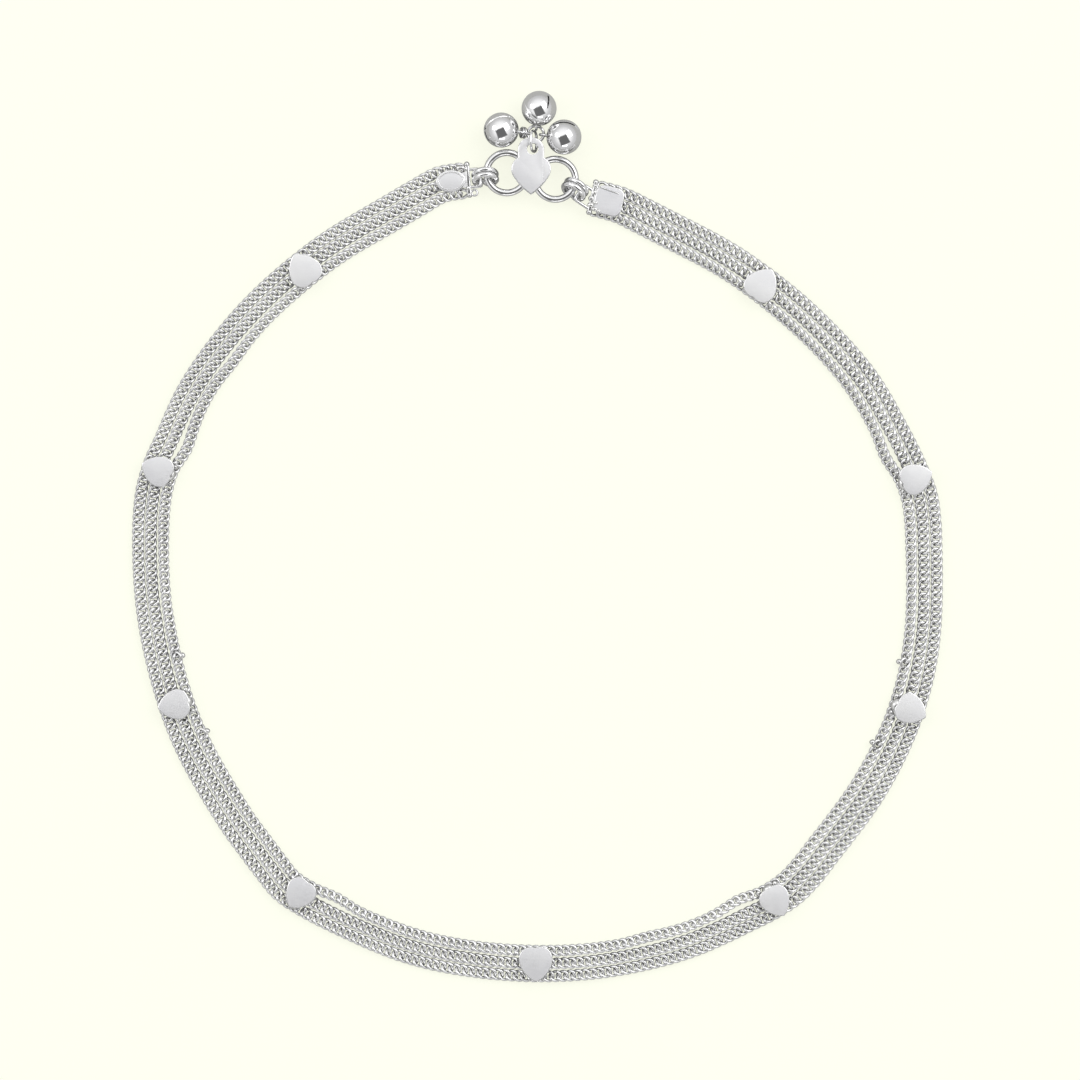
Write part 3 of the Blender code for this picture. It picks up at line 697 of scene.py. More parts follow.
def metal(name):
    row = METALS[name]
    material = bpy.data.materials.new(name)
    material.use_nodes = True
    tree = material.node_tree
    shader = tree.nodes["Principled BSDF"]
    shader.inputs["Metallic"].default_value = 1.0
    place = node(tree, "TexCoord").outputs["Object"]
    stops = tuple(zip(NOISE_SPAN, (row["dark"], row["light"])))
    tone = ramp(tree, noise(tree, place, *row["tone"]), stops)
    # Painted shade: ambient occlusion darkens the base colour where other metal is near
    if "corners" in row:
        reach, depth = row["corners"]
        occlusion = node(tree, "AmbientOcclusion", {"Distance": reach * MM}, samples=PAINTED_SHADE_SAMPLES)
        painted_shade = spread(tree, occlusion.outputs["AO"], PAINTED_SHADE_SPAN, depth, 1.0)
        inputs = {"Factor": 1.0, "A": tone, "B": painted_shade}
        tone = node(tree, "Mix", inputs, data_type="RGBA", blend_type="MULTIPLY")
        tone = tone.outputs["Result"]
    tree.links.new(tone, shader.inputs["Base Color"])
    rough = spread(tree, noise(tree, place, *row["grain"]), NOISE_SPAN, *row["rough"])
    tree.links.new(rough, shader.inputs["Roughness"])
    earlier = {}
    for grain, height, strength in row["bumps"]:
        inputs = {"Strength": strength, "Distance": height * MM, **earlier}
        made = node(tree, "Bump", {**inputs, "Height": noise(tree, place, *grain)})
        earlier = {"Normal": made.outputs["Normal"]}
    tree.links.new(earlier["Normal"], shader.inputs["Normal"])
    return material


CHAIN = metal("chain_silver")
SATIN = metal("satin_silver")
POLISHED = metal("polished_silver")
EDGE = metal("edge_silver")
SOLDER = metal("solder_silver")


# Meshes


def add_object(name, data):
    made = bpy.data.objects.new(name, data)
    bpy.context.scene.collection.objects.link(made)
    return made


def smooth(mesh, with_edges=True):
    """Shades the mesh round, all but its edges."""
    mesh.polygons.foreach_set("use_smooth", np.ones(len(mesh.polygons), bool))
    if with_edges:
        mesh.set_sharp_from_angle(angle=math.radians(SHARP_ANGLE))


def ring_faces(rings, sides, closed):
    """The faces between neighbouring rings of points, and from the last to the first if closed."""
    faces = []
    for row in range(rings if closed else rings - 1):
        below, above = row * sides, (row + 1) % rings * sides
        for side in range(sides):
            after = (side + 1) % sides
            faces.append((below + side, below + after, above + after, above + side))
    return faces


def rounded_end(section, radius, way):
    """Rings of points that close the end of a wire, from its pole in."""
    centre, ring, tangent = section
    rings = []
    for lean in (80, 55, 28):
        back = radius * math.sin(math.radians(lean))
        size = radius * math.cos(math.radians(lean))
        rings.append(centre + way * back * tangent + size * ring)
    return rings


class Shape:
    """Points and faces that several forms add to, which become one piece."""

    def __init__(self):
        self.points = []
        self.faces = []
        self.slots = []
        self.count = 0

    def add(self, points, faces, slot=0):
        self.points.append(np.asarray(points, float).reshape(-1, 3))
        self.faces += [tuple(int(index) + self.count for index in face) for face in faces]
        self.slots += [slot] * len(faces)
        self.count += len(self.points[-1])

    def tube(self, path, diameter, sides, matrix, closed=False, slot=0):
        """A round wire along the path, with rounded ends unless it is closed."""
        line = np.array([tuple(point) for point in path], float)
        radius = diameter / 2
        if closed:
            tangents = np.roll(line, -1, axis=0) - np.roll(line, 1, axis=0)
        else:
            tangents = np.gradient(line, axis=0)
        tangents /= np.linalg.norm(tangents, axis=1)[:, None]
        normal = np.cross(tangents[0], (0.31, 0.52, 0.80))
        if np.linalg.norm(normal) < 0.2:
            normal = np.cross(tangents[0], (1.0, 0.0, 0.0))
        normals = []
        for tangent in tangents:
            normal = normal - tangent * np.dot(normal, tangent)
            normal /= np.linalg.norm(normal)
            normals.append(normal)
        normals = np.array(normals)
        twist = 0.0
        if closed:
            last = normals[-1] - tangents[0] * np.dot(normals[-1], tangents[0])
            across = np.cross(tangents[0], normals[0])
            twist = math.atan2(np.dot(last, across), np.dot(last, normals[0]))
        count = len(line)
        angles = np.linspace(0.0, 2 * math.pi, sides, endpoint=False)
        sections = []
        for index in range(count):
            side = np.cross(tangents[index], normals[index])
            turn = angles - twist * index / count
            ring = np.cos(turn)[:, None] * normals[index] + np.sin(turn)[:, None] * side
            sections.append((line[index], ring, tangents[index]))
        rings = [centre + radius * ring for centre, ring, _ in sections]
        if not closed:
            first = rounded_end(sections[0], radius, -1)
            rings = first + rings + rounded_end(sections[-1], radius, 1)[::-1]
        faces = ring_faces(len(rings), sides, closed)
        if not closed:
            faces.append(tuple(range(sides - 1, -1, -1)))
            faces.append(tuple(range((len(rings) - 1) * sides, len(rings) * sides)))
        self.add(moved(np.concatenate(rings), matrix), faces, slot)

    def revolved(self, profile, steps, matrix, slot=0):
        """A profile of (reach, height) pairs from pole to pole, turned round local Z."""
        angles = np.linspace(0.0, 2 * math.pi, steps, endpoint=False)
        points = [(0.0, 0.0, profile[0][1])]
        for reach, height in profile[1:-1]:
            points += [(reach * math.cos(a), reach * math.sin(a), height) for a in angles]
        points.append((0.0, 0.0, profile[-1][1]))
        rows = len(profile) - 2
        faces = []
        for step in range(steps):
            after = (step + 1) % steps
            faces.append((0, 1 + after, 1 + step))
            for row in range(rows - 1):
                low, high = 1 + row * steps, 1 + (row + 1) * steps
                faces.append((low + step, low + after, high + after, high + step))
            low = 1 + (rows - 1) * steps
            faces.append((low + step, low + after, len(points) - 1))
        self.add(moved(np.array(points), matrix), faces, slot)

    def lump(self, centre, sizes, bearing, slot, rough):
        """An uneven rounded blob of these half sizes."""
        rows = LUMP_STEPS // 2
        leans = [math.pi * row / rows for row in range(rows + 1)]
        profile = [(math.sin(lean), -math.cos(lean)) for lean in leans]
        matrix = placed(centre, centre[2], bearing) @ Matrix.Diagonal((*sizes, 1.0))
        self.revolved(profile, LUMP_STEPS, matrix, slot)
        points = self.points[-1]
        away = points - np.array(tuple(centre))
        phase = RANDOM.uniform(0.0, 6.28, 3)
        ripple = np.sin(away[:, 0] / sizes[0] * 3.0 + phase[0])
        ripple = ripple + np.sin(away[:, 1] / sizes[1] * 3.0 + phase[1])
        self.points[-1] = points + away * (rough * ripple)[:, None]

    def plate(self, outline, thickness, edge, matrix, holes=(), faces_slot=0):
        """A flat piece with rounded edges, from level 0 of its matrix up to its thickness."""
        curve = bpy.data.curves.new("plate", "CURVE")
        curve.dimensions = "2D"
        curve.fill_mode = "BOTH"
        curve.extrude = thickness / 2 - edge
        curve.bevel_depth = edge
        curve.bevel_resolution = 3
        curve.offset = -edge
        for ring in (outline, *holes):
            spline = curve.splines.new("POLY")
            spline.points.add(len(ring) - 1)
            for point, place in zip(spline.points, ring):
                point.co = (place[0], place[1], 0.0, 1.0)
            spline.use_cyclic_u = True
        holder = add_object("plate", curve)
        graph = bpy.context.evaluated_depsgraph_get()
        mesh = bpy.data.meshes.new_from_object(holder.evaluated_get(graph))
        points = np.empty(len(mesh.vertices) * 3)
        mesh.vertices.foreach_get("co", points)
        points = points.reshape(-1, 3) + (0.0, 0.0, thickness / 2)
        flat = [abs(face.normal.z) > 0.99 for face in mesh.polygons]
        faces = [tuple(face.vertices) for face in mesh.polygons]
        bpy.data.objects.remove(holder)
        bpy.data.curves.remove(curve)
        bpy.data.meshes.remove(mesh)
        self.add(moved(points, matrix), faces)
        self.slots[-len(flat) :] = [faces_slot if is_flat else 1 for is_flat in flat]

    def piece(self, name, *materials):
        """The mesh object of everything added so far."""
        mesh = bpy.data.meshes.new(name)
        mesh.from_pydata(np.concatenate(self.points).tolist(), [], self.faces)
        mesh.polygons.foreach_set("material_index", np.array(self.slots, np.int32))
        mesh.validate()
        weld(mesh)
        smooth(mesh)
        made = add_object(name, mesh)
        for material in materials:
            mesh.materials.append(material)
        return made


def weld(mesh):
    """Joins points that lie in one place and turns all faces outwards."""
    shape = bmesh.new()
    shape.from_mesh(mesh)
    bmesh.ops.remove_doubles(shape, verts=shape.verts, dist=1e-7)
    bmesh.ops.recalc_face_normals(shape, faces=shape.faces)
    shape.to_mesh(mesh)
    shape.free()


def moved(points, matrix):
    array = np.array(matrix)
    return points @ array[:3, :3].T + array[:3, 3]


def keep(made, slot, *nodes):
    """Puts the piece on the body in place of these nodes."""
    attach(made, "root")
    if nodes:
        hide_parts(*nodes)


# Chains


def link_form():
    """Points of one curb link, long along X and flat in XY, and its faces."""
    turns = np.linspace(0.0, 2 * math.pi, LINK_STEPS, endpoint=False)
    middle = np.stack(
        [
            LINK_HALF_LENGTH * np.cos(turns),
            LINK_HALF_WIDTH * np.sin(turns),
            LINK_TWIST * np.sin(2 * turns),
        ],
        axis=1,
    )
    heading = np.stack(
        [
            -LINK_HALF_LENGTH * np.sin(turns),
            LINK_HALF_WIDTH * np.cos(turns),
            2 * LINK_TWIST * np.cos(2 * turns),
        ],
        axis=1,
    )
    heading /= np.linalg.norm(heading, axis=1)[:, None]
    outer = np.stack([np.cos(turns), np.sin(turns), np.zeros(LINK_STEPS)], axis=1)
    outer -= heading * np.sum(outer * heading, axis=1)[:, None]
    outer /= np.linalg.norm(outer, axis=1)[:, None]
    side = np.cross(heading, outer)
    around = np.linspace(0.0, 2 * math.pi, LINK_SIDES, endpoint=False)
    outwards, sideways = np.cos(around)[None, :, None], np.sin(around)[None, :, None]
    ring = outwards * outer[:, None] + sideways * side[:, None]
    points = (middle[:, None] + LINK_WIRE_DIAMETER / 2 * ring).reshape(-1, 3)
    return points, np.array(ring_faces(LINK_STEPS, LINK_SIDES, True))


def roll_of(strand, number):
    sway = math.sin(2 * math.pi * number / strand["over"] + strand["phase"])
    sway += 0.5 * math.sin(2 * math.pi * number / (0.37 * strand["over"]) + 2.0 * strand["phase"])
    return strand["roll"] + strand["wander"] * sway / 1.5


def make_chain(strand, line):
    points = strand_line(line, strand["rank"])
    flat, along = measured(smooth_curve(points, 0.3 * MM))

    def spot_at(where):
        return np.array([np.interp(where, along, flat[:, axis]) for axis in range(2)])

    count = round((along[-1] - LINK_HALF_LENGTH) / LINK_PITCH)
    pitch = along[-1] / count
    form, faces = link_form()
    links = []
    for number in range(count):
        where = (number + 0.5) * pitch
        heading = spot_at(where + pitch / 2) - spot_at(where - pitch / 2)
        heading /= np.linalg.norm(heading)
        roll = math.radians(roll_of(strand, number) + RANDOM.normal(0.0, ROLL_SPREAD))
        x_axis = np.array([heading[0], heading[1], 0.0])
        out = np.array([heading[1], -heading[0], 0.0])
        y_axis = math.cos(roll) * out + math.sin(roll) * np.array([0.0, 0.0, 1.0])
        link = form @ np.array([x_axis, y_axis, np.cross(x_axis, y_axis)])
        link[:, :2] += spot_at(where)
        link[:, 2] -= link[:, 2].min() - LINK_CLEARANCE
        links.append(link)
    level = np.array([link[:, 2].mean() for link in links])
    padded = np.pad(level, LEVELLED_LINKS // 2, mode="edge")
    calm = np.convolve(padded, np.ones(LEVELLED_LINKS) / LEVELLED_LINKS, mode="valid")
    for link, lift in zip(links, calm - level):
        link[:, 2] += max(0.0, lift)
    name = strand["name"]
    mesh = bpy.data.meshes.new(f"chain_{name}")
    all_points = np.concatenate(links)
    offsets = np.arange(count) * len(form)
    all_faces = (faces[None] + offsets[:, None, None]).reshape(-1, 4)
    mesh.vertices.add(len(all_points))
    mesh.vertices.foreach_set("co", all_points.ravel())
    mesh.loops.add(all_faces.size)
    mesh.loops.foreach_set("vertex_index", all_faces.ravel().astype(np.int32))
    mesh.polygons.add(len(all_faces))
    mesh.polygons.foreach_set("loop_start", np.arange(0, all_faces.size, 4, dtype=np.int32))
    mesh.update(calc_edges=True)
    mesh.validate()
    smooth(mesh, with_edges=False)
    mesh.materials.append(CHAIN)
    made = add_object(f"chain_{name}", mesh)
    keep(made, "silver_chain", f"strand_{name}_left", f"strand_{name}_right")


# Plates


def heart_place(line, heart):
    middle = heart["size"] * (HEART_LOBE_SHARE * HEART_WIDTH - HEART_LENGTH / 2)
    seat, out = place_along(line, heart["share"])
    bearing = bearing_of(out) + heart["turn"]
    centre = seat + heart["out"] * MM * out + middle * direction(bearing)
    return placed(centre, PLATE_LEVEL, bearing + 90.0), seat, out


def make_hearts(line):
    for number, heart in enumerate(HEARTS, 1):
        matrix, seat, out = heart_place(line, heart)
        shape = Shape()
        shape.plate(heart_outline(heart["size"]), HEART_THICKNESS, HEART_EDGE, matrix)
        bearing = bearing_of(out)
        for rank in (-1, 0, 1):
            spot = seat + (rank * STRAND_PITCH * SOLDER_SPREAD) * out
            shape.lump(lifted(spot, SOLDER_LEVEL), SOLDER_HALF, bearing, 2, 0.03)
        for side in (-1, 1):
            away = side * RANDOM.uniform(*BLOB_SPREAD) * MM
            spot = seat - BLOB_PLACE * out + away * Vector((-out.y, out.x))
            half = RANDOM.uniform(*BLOB_HALF) * MM
            sizes = (half, half, half * BLOB_FLATTENING)
            shape.lump(lifted(spot, SOLDER_LEVEL), sizes, bearing, 2, 0.05)
        made = shape.piece(f"heart_{number}", SATIN, EDGE, SOLDER)
        keep(made, "silver_satin", f"heart_plate_{number}")


def staple_points():
    leg = RING_SPACING / 2 + RING_WIRE + SEAT_GAP + STAPLE_WIRE / 2
    foot = RING_LEVEL - RING_WIRE / 2 - SEAT_GAP - STAPLE_WIRE / 2
    top = CLASP_LEVEL + CLASP_THICKNESS / 2
    tip = CLASP_LEVEL - STAPLE_OPENING - STAPLE_WIRE / 2
    bend = STAPLE_BEND
    first = arc((-leg + bend, foot + bend), bend, 180, 270, 8)
    second = arc((leg - bend, foot + bend), bend, 270, 360, 8)
    flat = [Vector((-leg, top)), *first, *second, Vector((leg, tip))]
    return [Vector((point.x, 0.0, point.y)) for point in flat]


def make_heart_clasp():
    shape = Shape()
    base = placed(CLASP_CENTRE, CLASP_LEVEL)
    hole_y = CLASP_RISE + TAB_LENGTH - TAB_MARGIN - TAB_HOLE / 2
    hole = [point + Vector((HOLE_SHIFT, hole_y)) for point in oval(TAB_HOLE, TAB_HOLE, 48)]
    shape.plate(clasp_outline(0.0), CLASP_THICKNESS, CLASP_EDGE, base, holes=(hole,))
    at_face = base @ shift(0, 0, CLASP_THICKNESS - FACE_SINK)
    shape.plate(face_outline(), FACE_THICKNESS + FACE_SINK, FACE_EDGE, at_face, holes=(hole,))
    staple = placed(CLASP_CENTRE, 0.0, CLASP_LINE_TURN)
    shape.tube(staple_points(), STAPLE_WIRE, 18, staple, slot=1)
    keep(shape.piece("clasp_heart", SATIN, EDGE), "silver_satin", "heart_clasp")


def eye_points(end):
    bar = placed(coil_centre(end), 0.0, end["coil"]).inverted() @ lifted(bar_centre(end), 0.0)
    half = COIL_WIDTH / 2 + EYE_SIDE_ROOM + EYE_WIRE / 2
    bend = EYE_WIRE
    near = Vector((bar.x - (half - bar.y) * bar_slope(end), half))
    first = arc((EYE_REACH + bend, half - bend), bend, 90, 180, 8)
    second = arc((EYE_REACH + bend, bend - half), bend, 180, 270, 8)
    far = Vector((bar.x + (half + bar.y) * bar_slope(end), -half))
    return [lifted(point, 0.0) for point in (near, *first, *second, far)]


def make_end_plates():
    bar_top = COIL_LEVEL + EYE_WIRE / 2 + BAR_RIM
    start = BAR_THICKNESS / 2 + PLATE_GAP
    disc = shifted(oval(DISC_LENGTH, DISC_WIDTH), start + DISC_LENGTH / 2)
    tongue = rounded_rectangle(TONGUE_LENGTH, TONGUE_WIDTH, TONGUE_CORNER)
    tongue = shifted(tongue, start + TONGUE_LENGTH / 2)
    neck_reach = start + NECK_OVERLAP
    neck = shifted(rounded_rectangle(neck_reach, NECK_WIDTH, NECK_CORNER), neck_reach / 2)
    upright = rotation(-90, "Y")
    for name, end in ENDS.items():
        shape = Shape()
        base = placed(bar_centre(end), 0.0, end["plate"])
        at_plate = base @ shift(0, 0, PLATE_LEVEL)
        plate = disc if name == "left" else tongue
        shape.plate(plate, PLATE_THICKNESS, PLATE_EDGE, at_plate)
        at_neck = at_plate @ shift(0, 0, NECK_LIFT)
        shape.plate(neck, NECK_THICKNESS, NECK_EDGE, at_neck)
        bar = rounded_rectangle(bar_top - BAR_FOOT, BAR_LENGTH, BAR_CORNER)
        at_bar = base @ shift(BAR_THICKNESS / 2, 0, (BAR_FOOT + bar_top) / 2)
        shape.plate(bar, BAR_THICKNESS, BAR_EDGE, at_bar @ upright, faces_slot=1)
        at_eye = placed(coil_centre(end), COIL_LEVEL, end["coil"])
        shape.tube(eye_points(end), EYE_WIRE, 16, at_eye, slot=1)
        for side in (-1, 1):
            corner = base @ Vector((0, side * BAR_LENGTH / 2, bar_top - BEAD_SINK))
            half = BEAD_DIAMETER / 2
            shape.lump(corner, (half, half, half), 0.0, 2, 0.02)
        for lump in END_LUMPS[name]:
            spot = base @ Vector((lump["along"] * MM, lump["across"] * MM, LUMP_LEVEL))
            sizes = [half * MM for half in lump["half"]]
            shape.lump(spot, sizes, end["plate"], 2, 0.05)
        if name == "left":
            loop = base @ shift(*LOOP_PLACE, PLATE_LEVEL)
            shape.tube(ring_path(LOOP_RADIUS, 40), LOOP_WIRE, 12, loop, closed=True, slot=1)
            rim = oval(DISC_LENGTH - 2 * RIM_MARGIN, DISC_WIDTH - 2 * RIM_MARGIN, 96)
            top = at_plate @ shift(start + DISC_LENGTH / 2, 0.0, PLATE_THICKNESS)
            path = [lifted(point, 0.0) for point in rim]
            shape.tube(path, RIM_WIRE, 10, top, closed=True, slot=1)
        else:
            path = [lifted(point, PLATE_THICKNESS) for point in FOLD_ENDS]
            path = evenly_spaced(path, 0.3 * MM)
            shape.tube(path, FOLD_WIRE, 10, at_plate, slot=1)
        made = shape.piece(f"end_{name}", SATIN, EDGE, SOLDER)
        keep(made, "silver_satin", f"end_plate_{name}")


# Rings and bells


def ring_path(radius, steps):
    return [lifted(radius * direction(360 * step / steps), 0.0) for step in range(steps)]


def make_clasp_rings():
    for name, end in ENDS.items():
        shape = Shape()
        matrix = placed(ring_centre(end["side"]), RING_LEVEL)
        shape.tube(ring_path(RING_RADIUS, 112), RING_WIRE, 24, matrix, closed=True)
        made = shape.piece(f"big_ring_{name}", POLISHED)
        keep(made, "silver_polished", f"clasp_ring_{name}")


def coil_points():
    sweep = 720.0 - COIL_CROSSING
    steps = 110
    points = []
    for step in range(steps + 1):
        swept = sweep * step / steps
        crossed = (swept - 360.0 + COIL_CROSSING) / COIL_CROSSING
        crossed = min(1.0, max(0.0, crossed))
        crossed = crossed * crossed * (3 - 2 * crossed)
        flat = COIL_RADIUS * direction(swept - 90.0 + COIL_CROSSING / 2)
        points.append(lifted(flat, (crossed - 0.5) * COIL_PITCH))
    return points


def make_double_rings():
    upright = rotation(90, "X")
    for name, end in ENDS.items():
        lean = rotation(-end["side"] * COIL_LEAN, "X")
        matrix = placed(coil_centre(end), COIL_LEVEL, end["coil"]) @ lean @ upright
        shape = Shape()
        shape.tube(coil_points(), COIL_WIRE, 20, matrix)
        made = shape.piece(f"jump_ring_{name}", POLISHED)
        keep(made, "silver_polished", f"double_ring_{name}")


def make_clasp_link():
    near = tab_hole_centre().y - OVAL_NEAR_SHIFT
    far = link_far_side()
    low = BELL_RING_LEVEL - BELL_RING_WIRE / 2 - SEAT_GAP - OVAL_WIRE / 2
    top = CLASP_LEVEL + CLASP_THICKNESS + FACE_THICKNESS
    high = top + LINK_GAP + OVAL_WIRE / 2 + OVAL_TOP_ROOM
    middle = Vector((tab_hole_centre().x + OVAL_SHIFT, (near + far) / 2))
    matrix = placed(middle, (low + high) / 2) @ rotation(OVAL_LEAN, "Y")
    points = []
    for step in range(72):
        unit = direction(360 * step / 72)
        across = math.copysign(abs(unit.x) ** (2 / OVAL_ROUNDNESS), unit.x)
        upward = math.copysign(abs(unit.y) ** (2 / OVAL_ROUNDNESS), unit.y)
        points.append(Vector((0.0, (far - near) / 2 * across, (high - low) / 2 * upward)))
    path = evenly_spaced([*points, points[0]], 0.15 * MM)[:-1]
    shape = Shape()
    shape.tube(path, OVAL_WIRE, 16, matrix, closed=True)
    keep(shape.piece("oval_link", POLISHED), "silver_polished", "clasp_link")


def make_bell_ring():
    shape = Shape()
    radius = (BELL_RING_DIAMETER - BELL_RING_WIRE) / 2
    matrix = placed(bell_ring_centre(), BELL_RING_LEVEL)
    shape.tube(ring_path(radius, 72), BELL_RING_WIRE, 18, matrix, closed=True)
    keep(shape.piece("small_ring", POLISHED), "silver_polished", "bell_ring")


def frame_along(start, end):
    x_axis = (end - start).normalized()
    y_axis = Vector((0, 0, 1)).cross(x_axis).normalized()
    z_axis = x_axis.cross(y_axis)
    return Matrix.Translation(start) @ Matrix((x_axis, y_axis, z_axis)).transposed().to_4x4()


def bell_profile(radius):
    """From pole to pole, with a fine groove where the two halves meet."""
    angles = np.concatenate(
        [np.linspace(0, 84, 34), np.linspace(85.5, 94.5, 19), np.linspace(96, 180, 34)]
    )
    profile = []
    for angle in angles:
        groove = SEAM_DEPTH * math.exp(-(((angle - 90.0) / SEAM_WIDTH) ** 2))
        reach = radius - groove
        turn = math.radians(angle)
        profile.append((reach * math.sin(turn), -reach * math.cos(turn)))
    return profile


def bail_points(radius, length):
    near = arc((0.0, 0.0), radius, 90, 270, 14)
    far = arc((length, 0.0), radius, -90, 90, 14)
    return [Vector((point.x, 0.0, point.y)) for point in near + far]


def cut(made, cutter):
    """The mesh without what the cutter covers."""
    modifier = made.modifiers.new("cut", "BOOLEAN")
    modifier.operation = "DIFFERENCE"
    modifier.solver = "EXACT"
    modifier.object = cutter
    graph = bpy.context.evaluated_depsgraph_get()
    mesh = bpy.data.meshes.new_from_object(made.evaluated_get(graph))
    made.modifiers.clear()
    made.data = mesh
    bpy.data.objects.remove(cutter)


def make_bells():
    ring_radius = (BELL_RING_DIAMETER - BELL_RING_WIRE) / 2
    bail_radius = BELL_RING_WIRE / 2 + BAIL_ROOM + BAIL_WIRE / 2
    radius = BELL_DIAMETER / 2
    for name, bell in BELLS.items():
        away = direction(bell["bearing"])
        middle = lifted(bell_ring_centre() + bell["distance"] * MM * away, radius)
        held = lifted(bell_ring_centre() + ring_radius * away, BELL_RING_LEVEL)
        frame = frame_along(held, middle)
        length = (middle - held).length - (radius - BELL_WALL / 2) - bail_radius
        pole = Vector(bell["seam"]).to_track_quat("Z", "Y").to_matrix().to_4x4()
        axis = Matrix.Translation(middle) @ pole
        shape = Shape()
        shape.revolved(bell_profile(radius), 96, axis)
        ball = shape.piece(f"bell_ball_{name}", POLISHED)
        hollow = Shape()
        hollow.revolved(bell_profile(radius - BELL_WALL), 64, axis)
        cut(ball, hollow.piece("hollow"))
        heading = rotation(bell["bearing"] + bell["slit_swing"], "Z")
        rise = rotation(-bell["slit_rise"], "Y")
        roll = rotation(bell["slit_turn"], "X")
        reach = shift(radius, 0, -BELL_SLIT / 2)
        at_slit = Matrix.Translation(middle) @ heading @ rise @ roll @ reach
        across = 2 * bell["slit_reach"] * MM
        slit = Shape()
        slit.plate(oval(across, across), BELL_SLIT, SLIT_EDGE, at_slit)
        cut(ball, slit.piece("slit"))
        bail = Shape()
        bail.tube(bail_points(bail_radius, length), BAIL_WIRE, 14, frame, closed=True)
        across = rotation(90, "Y")
        for share in bell["turns"]:
            at_turn = frame @ shift(share * length, 0, 0) @ across
            path = ring_path(bail_radius + BAIL_WIRE / 2, 32)
            bail.tube(path, TURN_WIRE, 10, at_turn, closed=True)
        collar = frame @ shift(length + bail_radius, 0, 0) @ across
        collar_profile = [(reach * MM, height * MM) for reach, height in COLLAR]
        bail.revolved(collar_profile, 32, collar)
        join(ball, bail.piece(f"bell_bail_{name}", POLISHED), f"round_bell_{name}")
        keep(ball, "silver_polished", f"bell_{name}")


def join(made, other, name):
    """Takes the other object's mesh into the first one."""
    bpy.ops.object.select_all(action="DESELECT")
    made.select_set(True)
    other.select_set(True)
    bpy.context.view_layer.objects.active = made
    bpy.ops.object.join()
    made.name = name
    mesh = made.data
    mesh.name = name
    mesh.materials.clear()
    mesh.materials.append(POLISHED)
    mesh.polygons.foreach_set("material_index", np.zeros(len(mesh.polygons), np.int32))
    smooth(mesh)


def make_splices(line):
    inner = strand_line(line, -1)
    for number, share in enumerate(SPLICES, 1):
        spot, out = place_along(inner, share)
        bearing = bearing_of(out)
        shape = Shape()
        matrix = placed(spot, SPLICE_LEVEL, bearing) @ rotation(SPLICE_TILT, "Y")
        shape.tube(ring_path(SPLICE_RADIUS, 40), SPLICE_WIRE, 14, matrix, closed=True)
        knob = spot - KNOB_REACH * out
        shape.lump(lifted(knob, SPLICE_LEVEL), KNOB_HALF, bearing, 0, 0.04)
        keep(shape.piece(f"splice_{number}", SOLDER), "silver_chain")


# Stage


def make_floor():
    """Ivory paper, bright to the camera and dimmer in the silver's reflections, as under flags."""
    mesh = bpy.data.meshes.new("floor")
    corners = [(x * FLOOR_HALF, y * FLOOR_HALF, 0) for x, y in ((-1, -1), (1, -1), (1, 1), (-1, 1))]
    mesh.from_pydata(corners, [], [(0, 1, 2, 3)])
    floor = add_object("floor", mesh)
    material = bpy.data.materials.new("ivory_paper")
    material.use_nodes = True
    tree = material.node_tree
    shader = tree.nodes["Principled BSDF"]
    shader.inputs["Base Color"].default_value = (*PAPER_COLOUR, 1.0)
    shader.inputs["Roughness"].default_value = 0.9
    shader.inputs["Specular IOR Level"].default_value = 0.0
    shader.inputs["Emission Color"].default_value = (*PAPER_GLOW, 1.0)
    shader.inputs["Emission Strength"].default_value = PAPER_GLOW_LEVEL
    dim = node(tree, "BsdfDiffuse", {"Color": (*PAPER_DIM, 1.0)})
    seen = node(tree, "LightPath").outputs["Is Camera Ray"]
    inputs = {"Fac": seen, 1: dim.outputs["BSDF"], 2: shader.outputs["BSDF"]}
    mix = node(tree, "MixShader", inputs)
    tree.links.new(mix.outputs["Shader"], tree.nodes["Material Output"].inputs["Surface"])
    mesh.materials.append(material)


def soft_box(name, place, size, radiance):
    """A square light of this radiance that faces the chain."""
    light = bpy.data.lights.new(name, "AREA")
    light.shape = "RECTANGLE"
    light.size, light.size_y = size
    light.energy = radiance * math.pi * size[0] * size[1]
    facing = (-Vector(place)).to_track_quat("-Z", "Y").to_matrix().to_4x4()
    add_object(name, light).matrix_world = shift(*place) @ facing


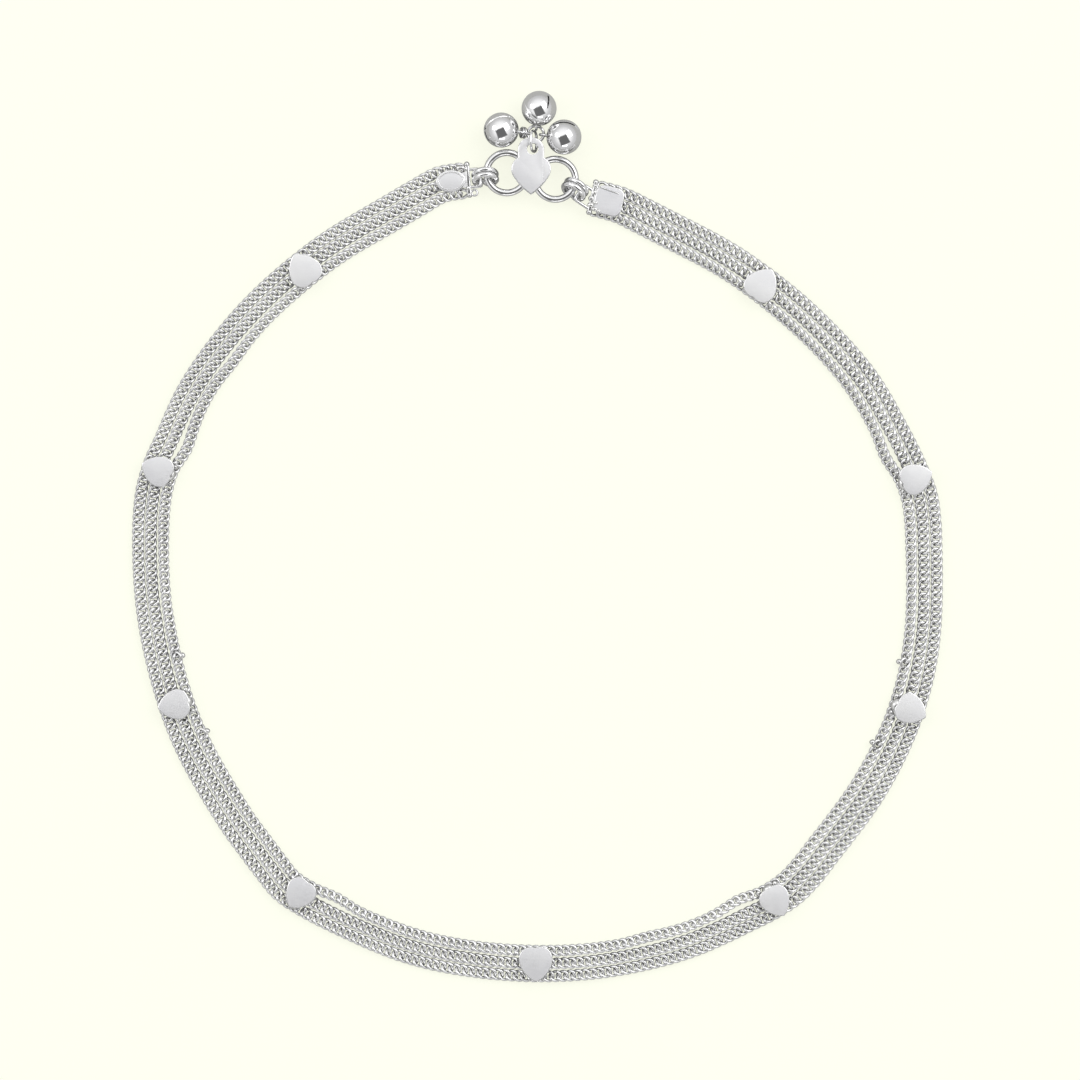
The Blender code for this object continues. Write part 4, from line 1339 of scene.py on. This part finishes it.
def make_light():
    world = bpy.data.worlds.new("studio")
    bpy.context.scene.world = world
    world.use_nodes = True
    tree = world.node_tree
    place = node(tree, "TexCoord").outputs["Generated"]
    split = node(tree, "SeparateXYZ", {"Vector": place})
    levels = [(where, (level, level, level)) for where, level in WALL_LEVELS]
    tent = ramp(tree, split.outputs["Z"], levels)
    turn = rotation(OPENING_LEAN, "X") @ rotation(OPENING_TURN, "Z")
    reaches = {}
    for number, axis in enumerate(((1.0, 0.0, 0.0), (0.0, 1.0, 0.0))):
        inputs = {0: place, 1: turn @ Vector(axis)}
        toward = node(tree, "VectorMath", inputs, operation="DOT_PRODUCT")
        reach = node(tree, "Math", {0: toward.outputs["Value"]}, operation="ABSOLUTE")
        reaches[number] = reach.outputs["Value"]
    away = node(tree, "Math", reaches, operation="MAXIMUM").outputs["Value"]
    opening = spread(tree, away, OPENING_EDGE, 1.0, 0.0, interpolation_type="SMOOTHSTEP")
    inputs = {"Factor": opening, "A": tent, "B": (*[OPENING_LEVEL] * 3, 1.0)}
    wall = node(tree, "Mix", inputs, data_type="RGBA")
    tree.links.new(wall.outputs["Result"], tree.nodes["Background"].inputs["Color"])
    tree.nodes["Background"].inputs["Strength"].default_value = 1.0
    for name, box in SOFT_BOXES.items():
        soft_box(name, **box)


def make_camera():
    data = bpy.data.cameras.new("camera")
    data.sensor_width = SENSOR_WIDTH
    data.sensor_fit = "HORIZONTAL"
    data.lens = SENSOR_WIDTH * CAMERA_HEIGHT / PHOTO_WIDTH
    data.clip_start = 0.01
    data.clip_end = 20.0
    camera = add_object("camera", data)
    camera.location = (*VIEW_CENTRE, CAMERA_HEIGHT)
    bpy.context.scene.camera = camera


def main():
    bpy.context.scene.view_settings.view_transform = "Standard"
    line = band_line()
    for strand in STRANDS:
        make_chain(strand, line)
    make_hearts(line)
    make_end_plates()
    make_heart_clasp()
    make_clasp_rings()
    make_double_rings()
    make_clasp_link()
    make_bell_ring()
    make_bells()
    make_splices(line)
    make_floor()
    make_light()
    make_camera()


main()
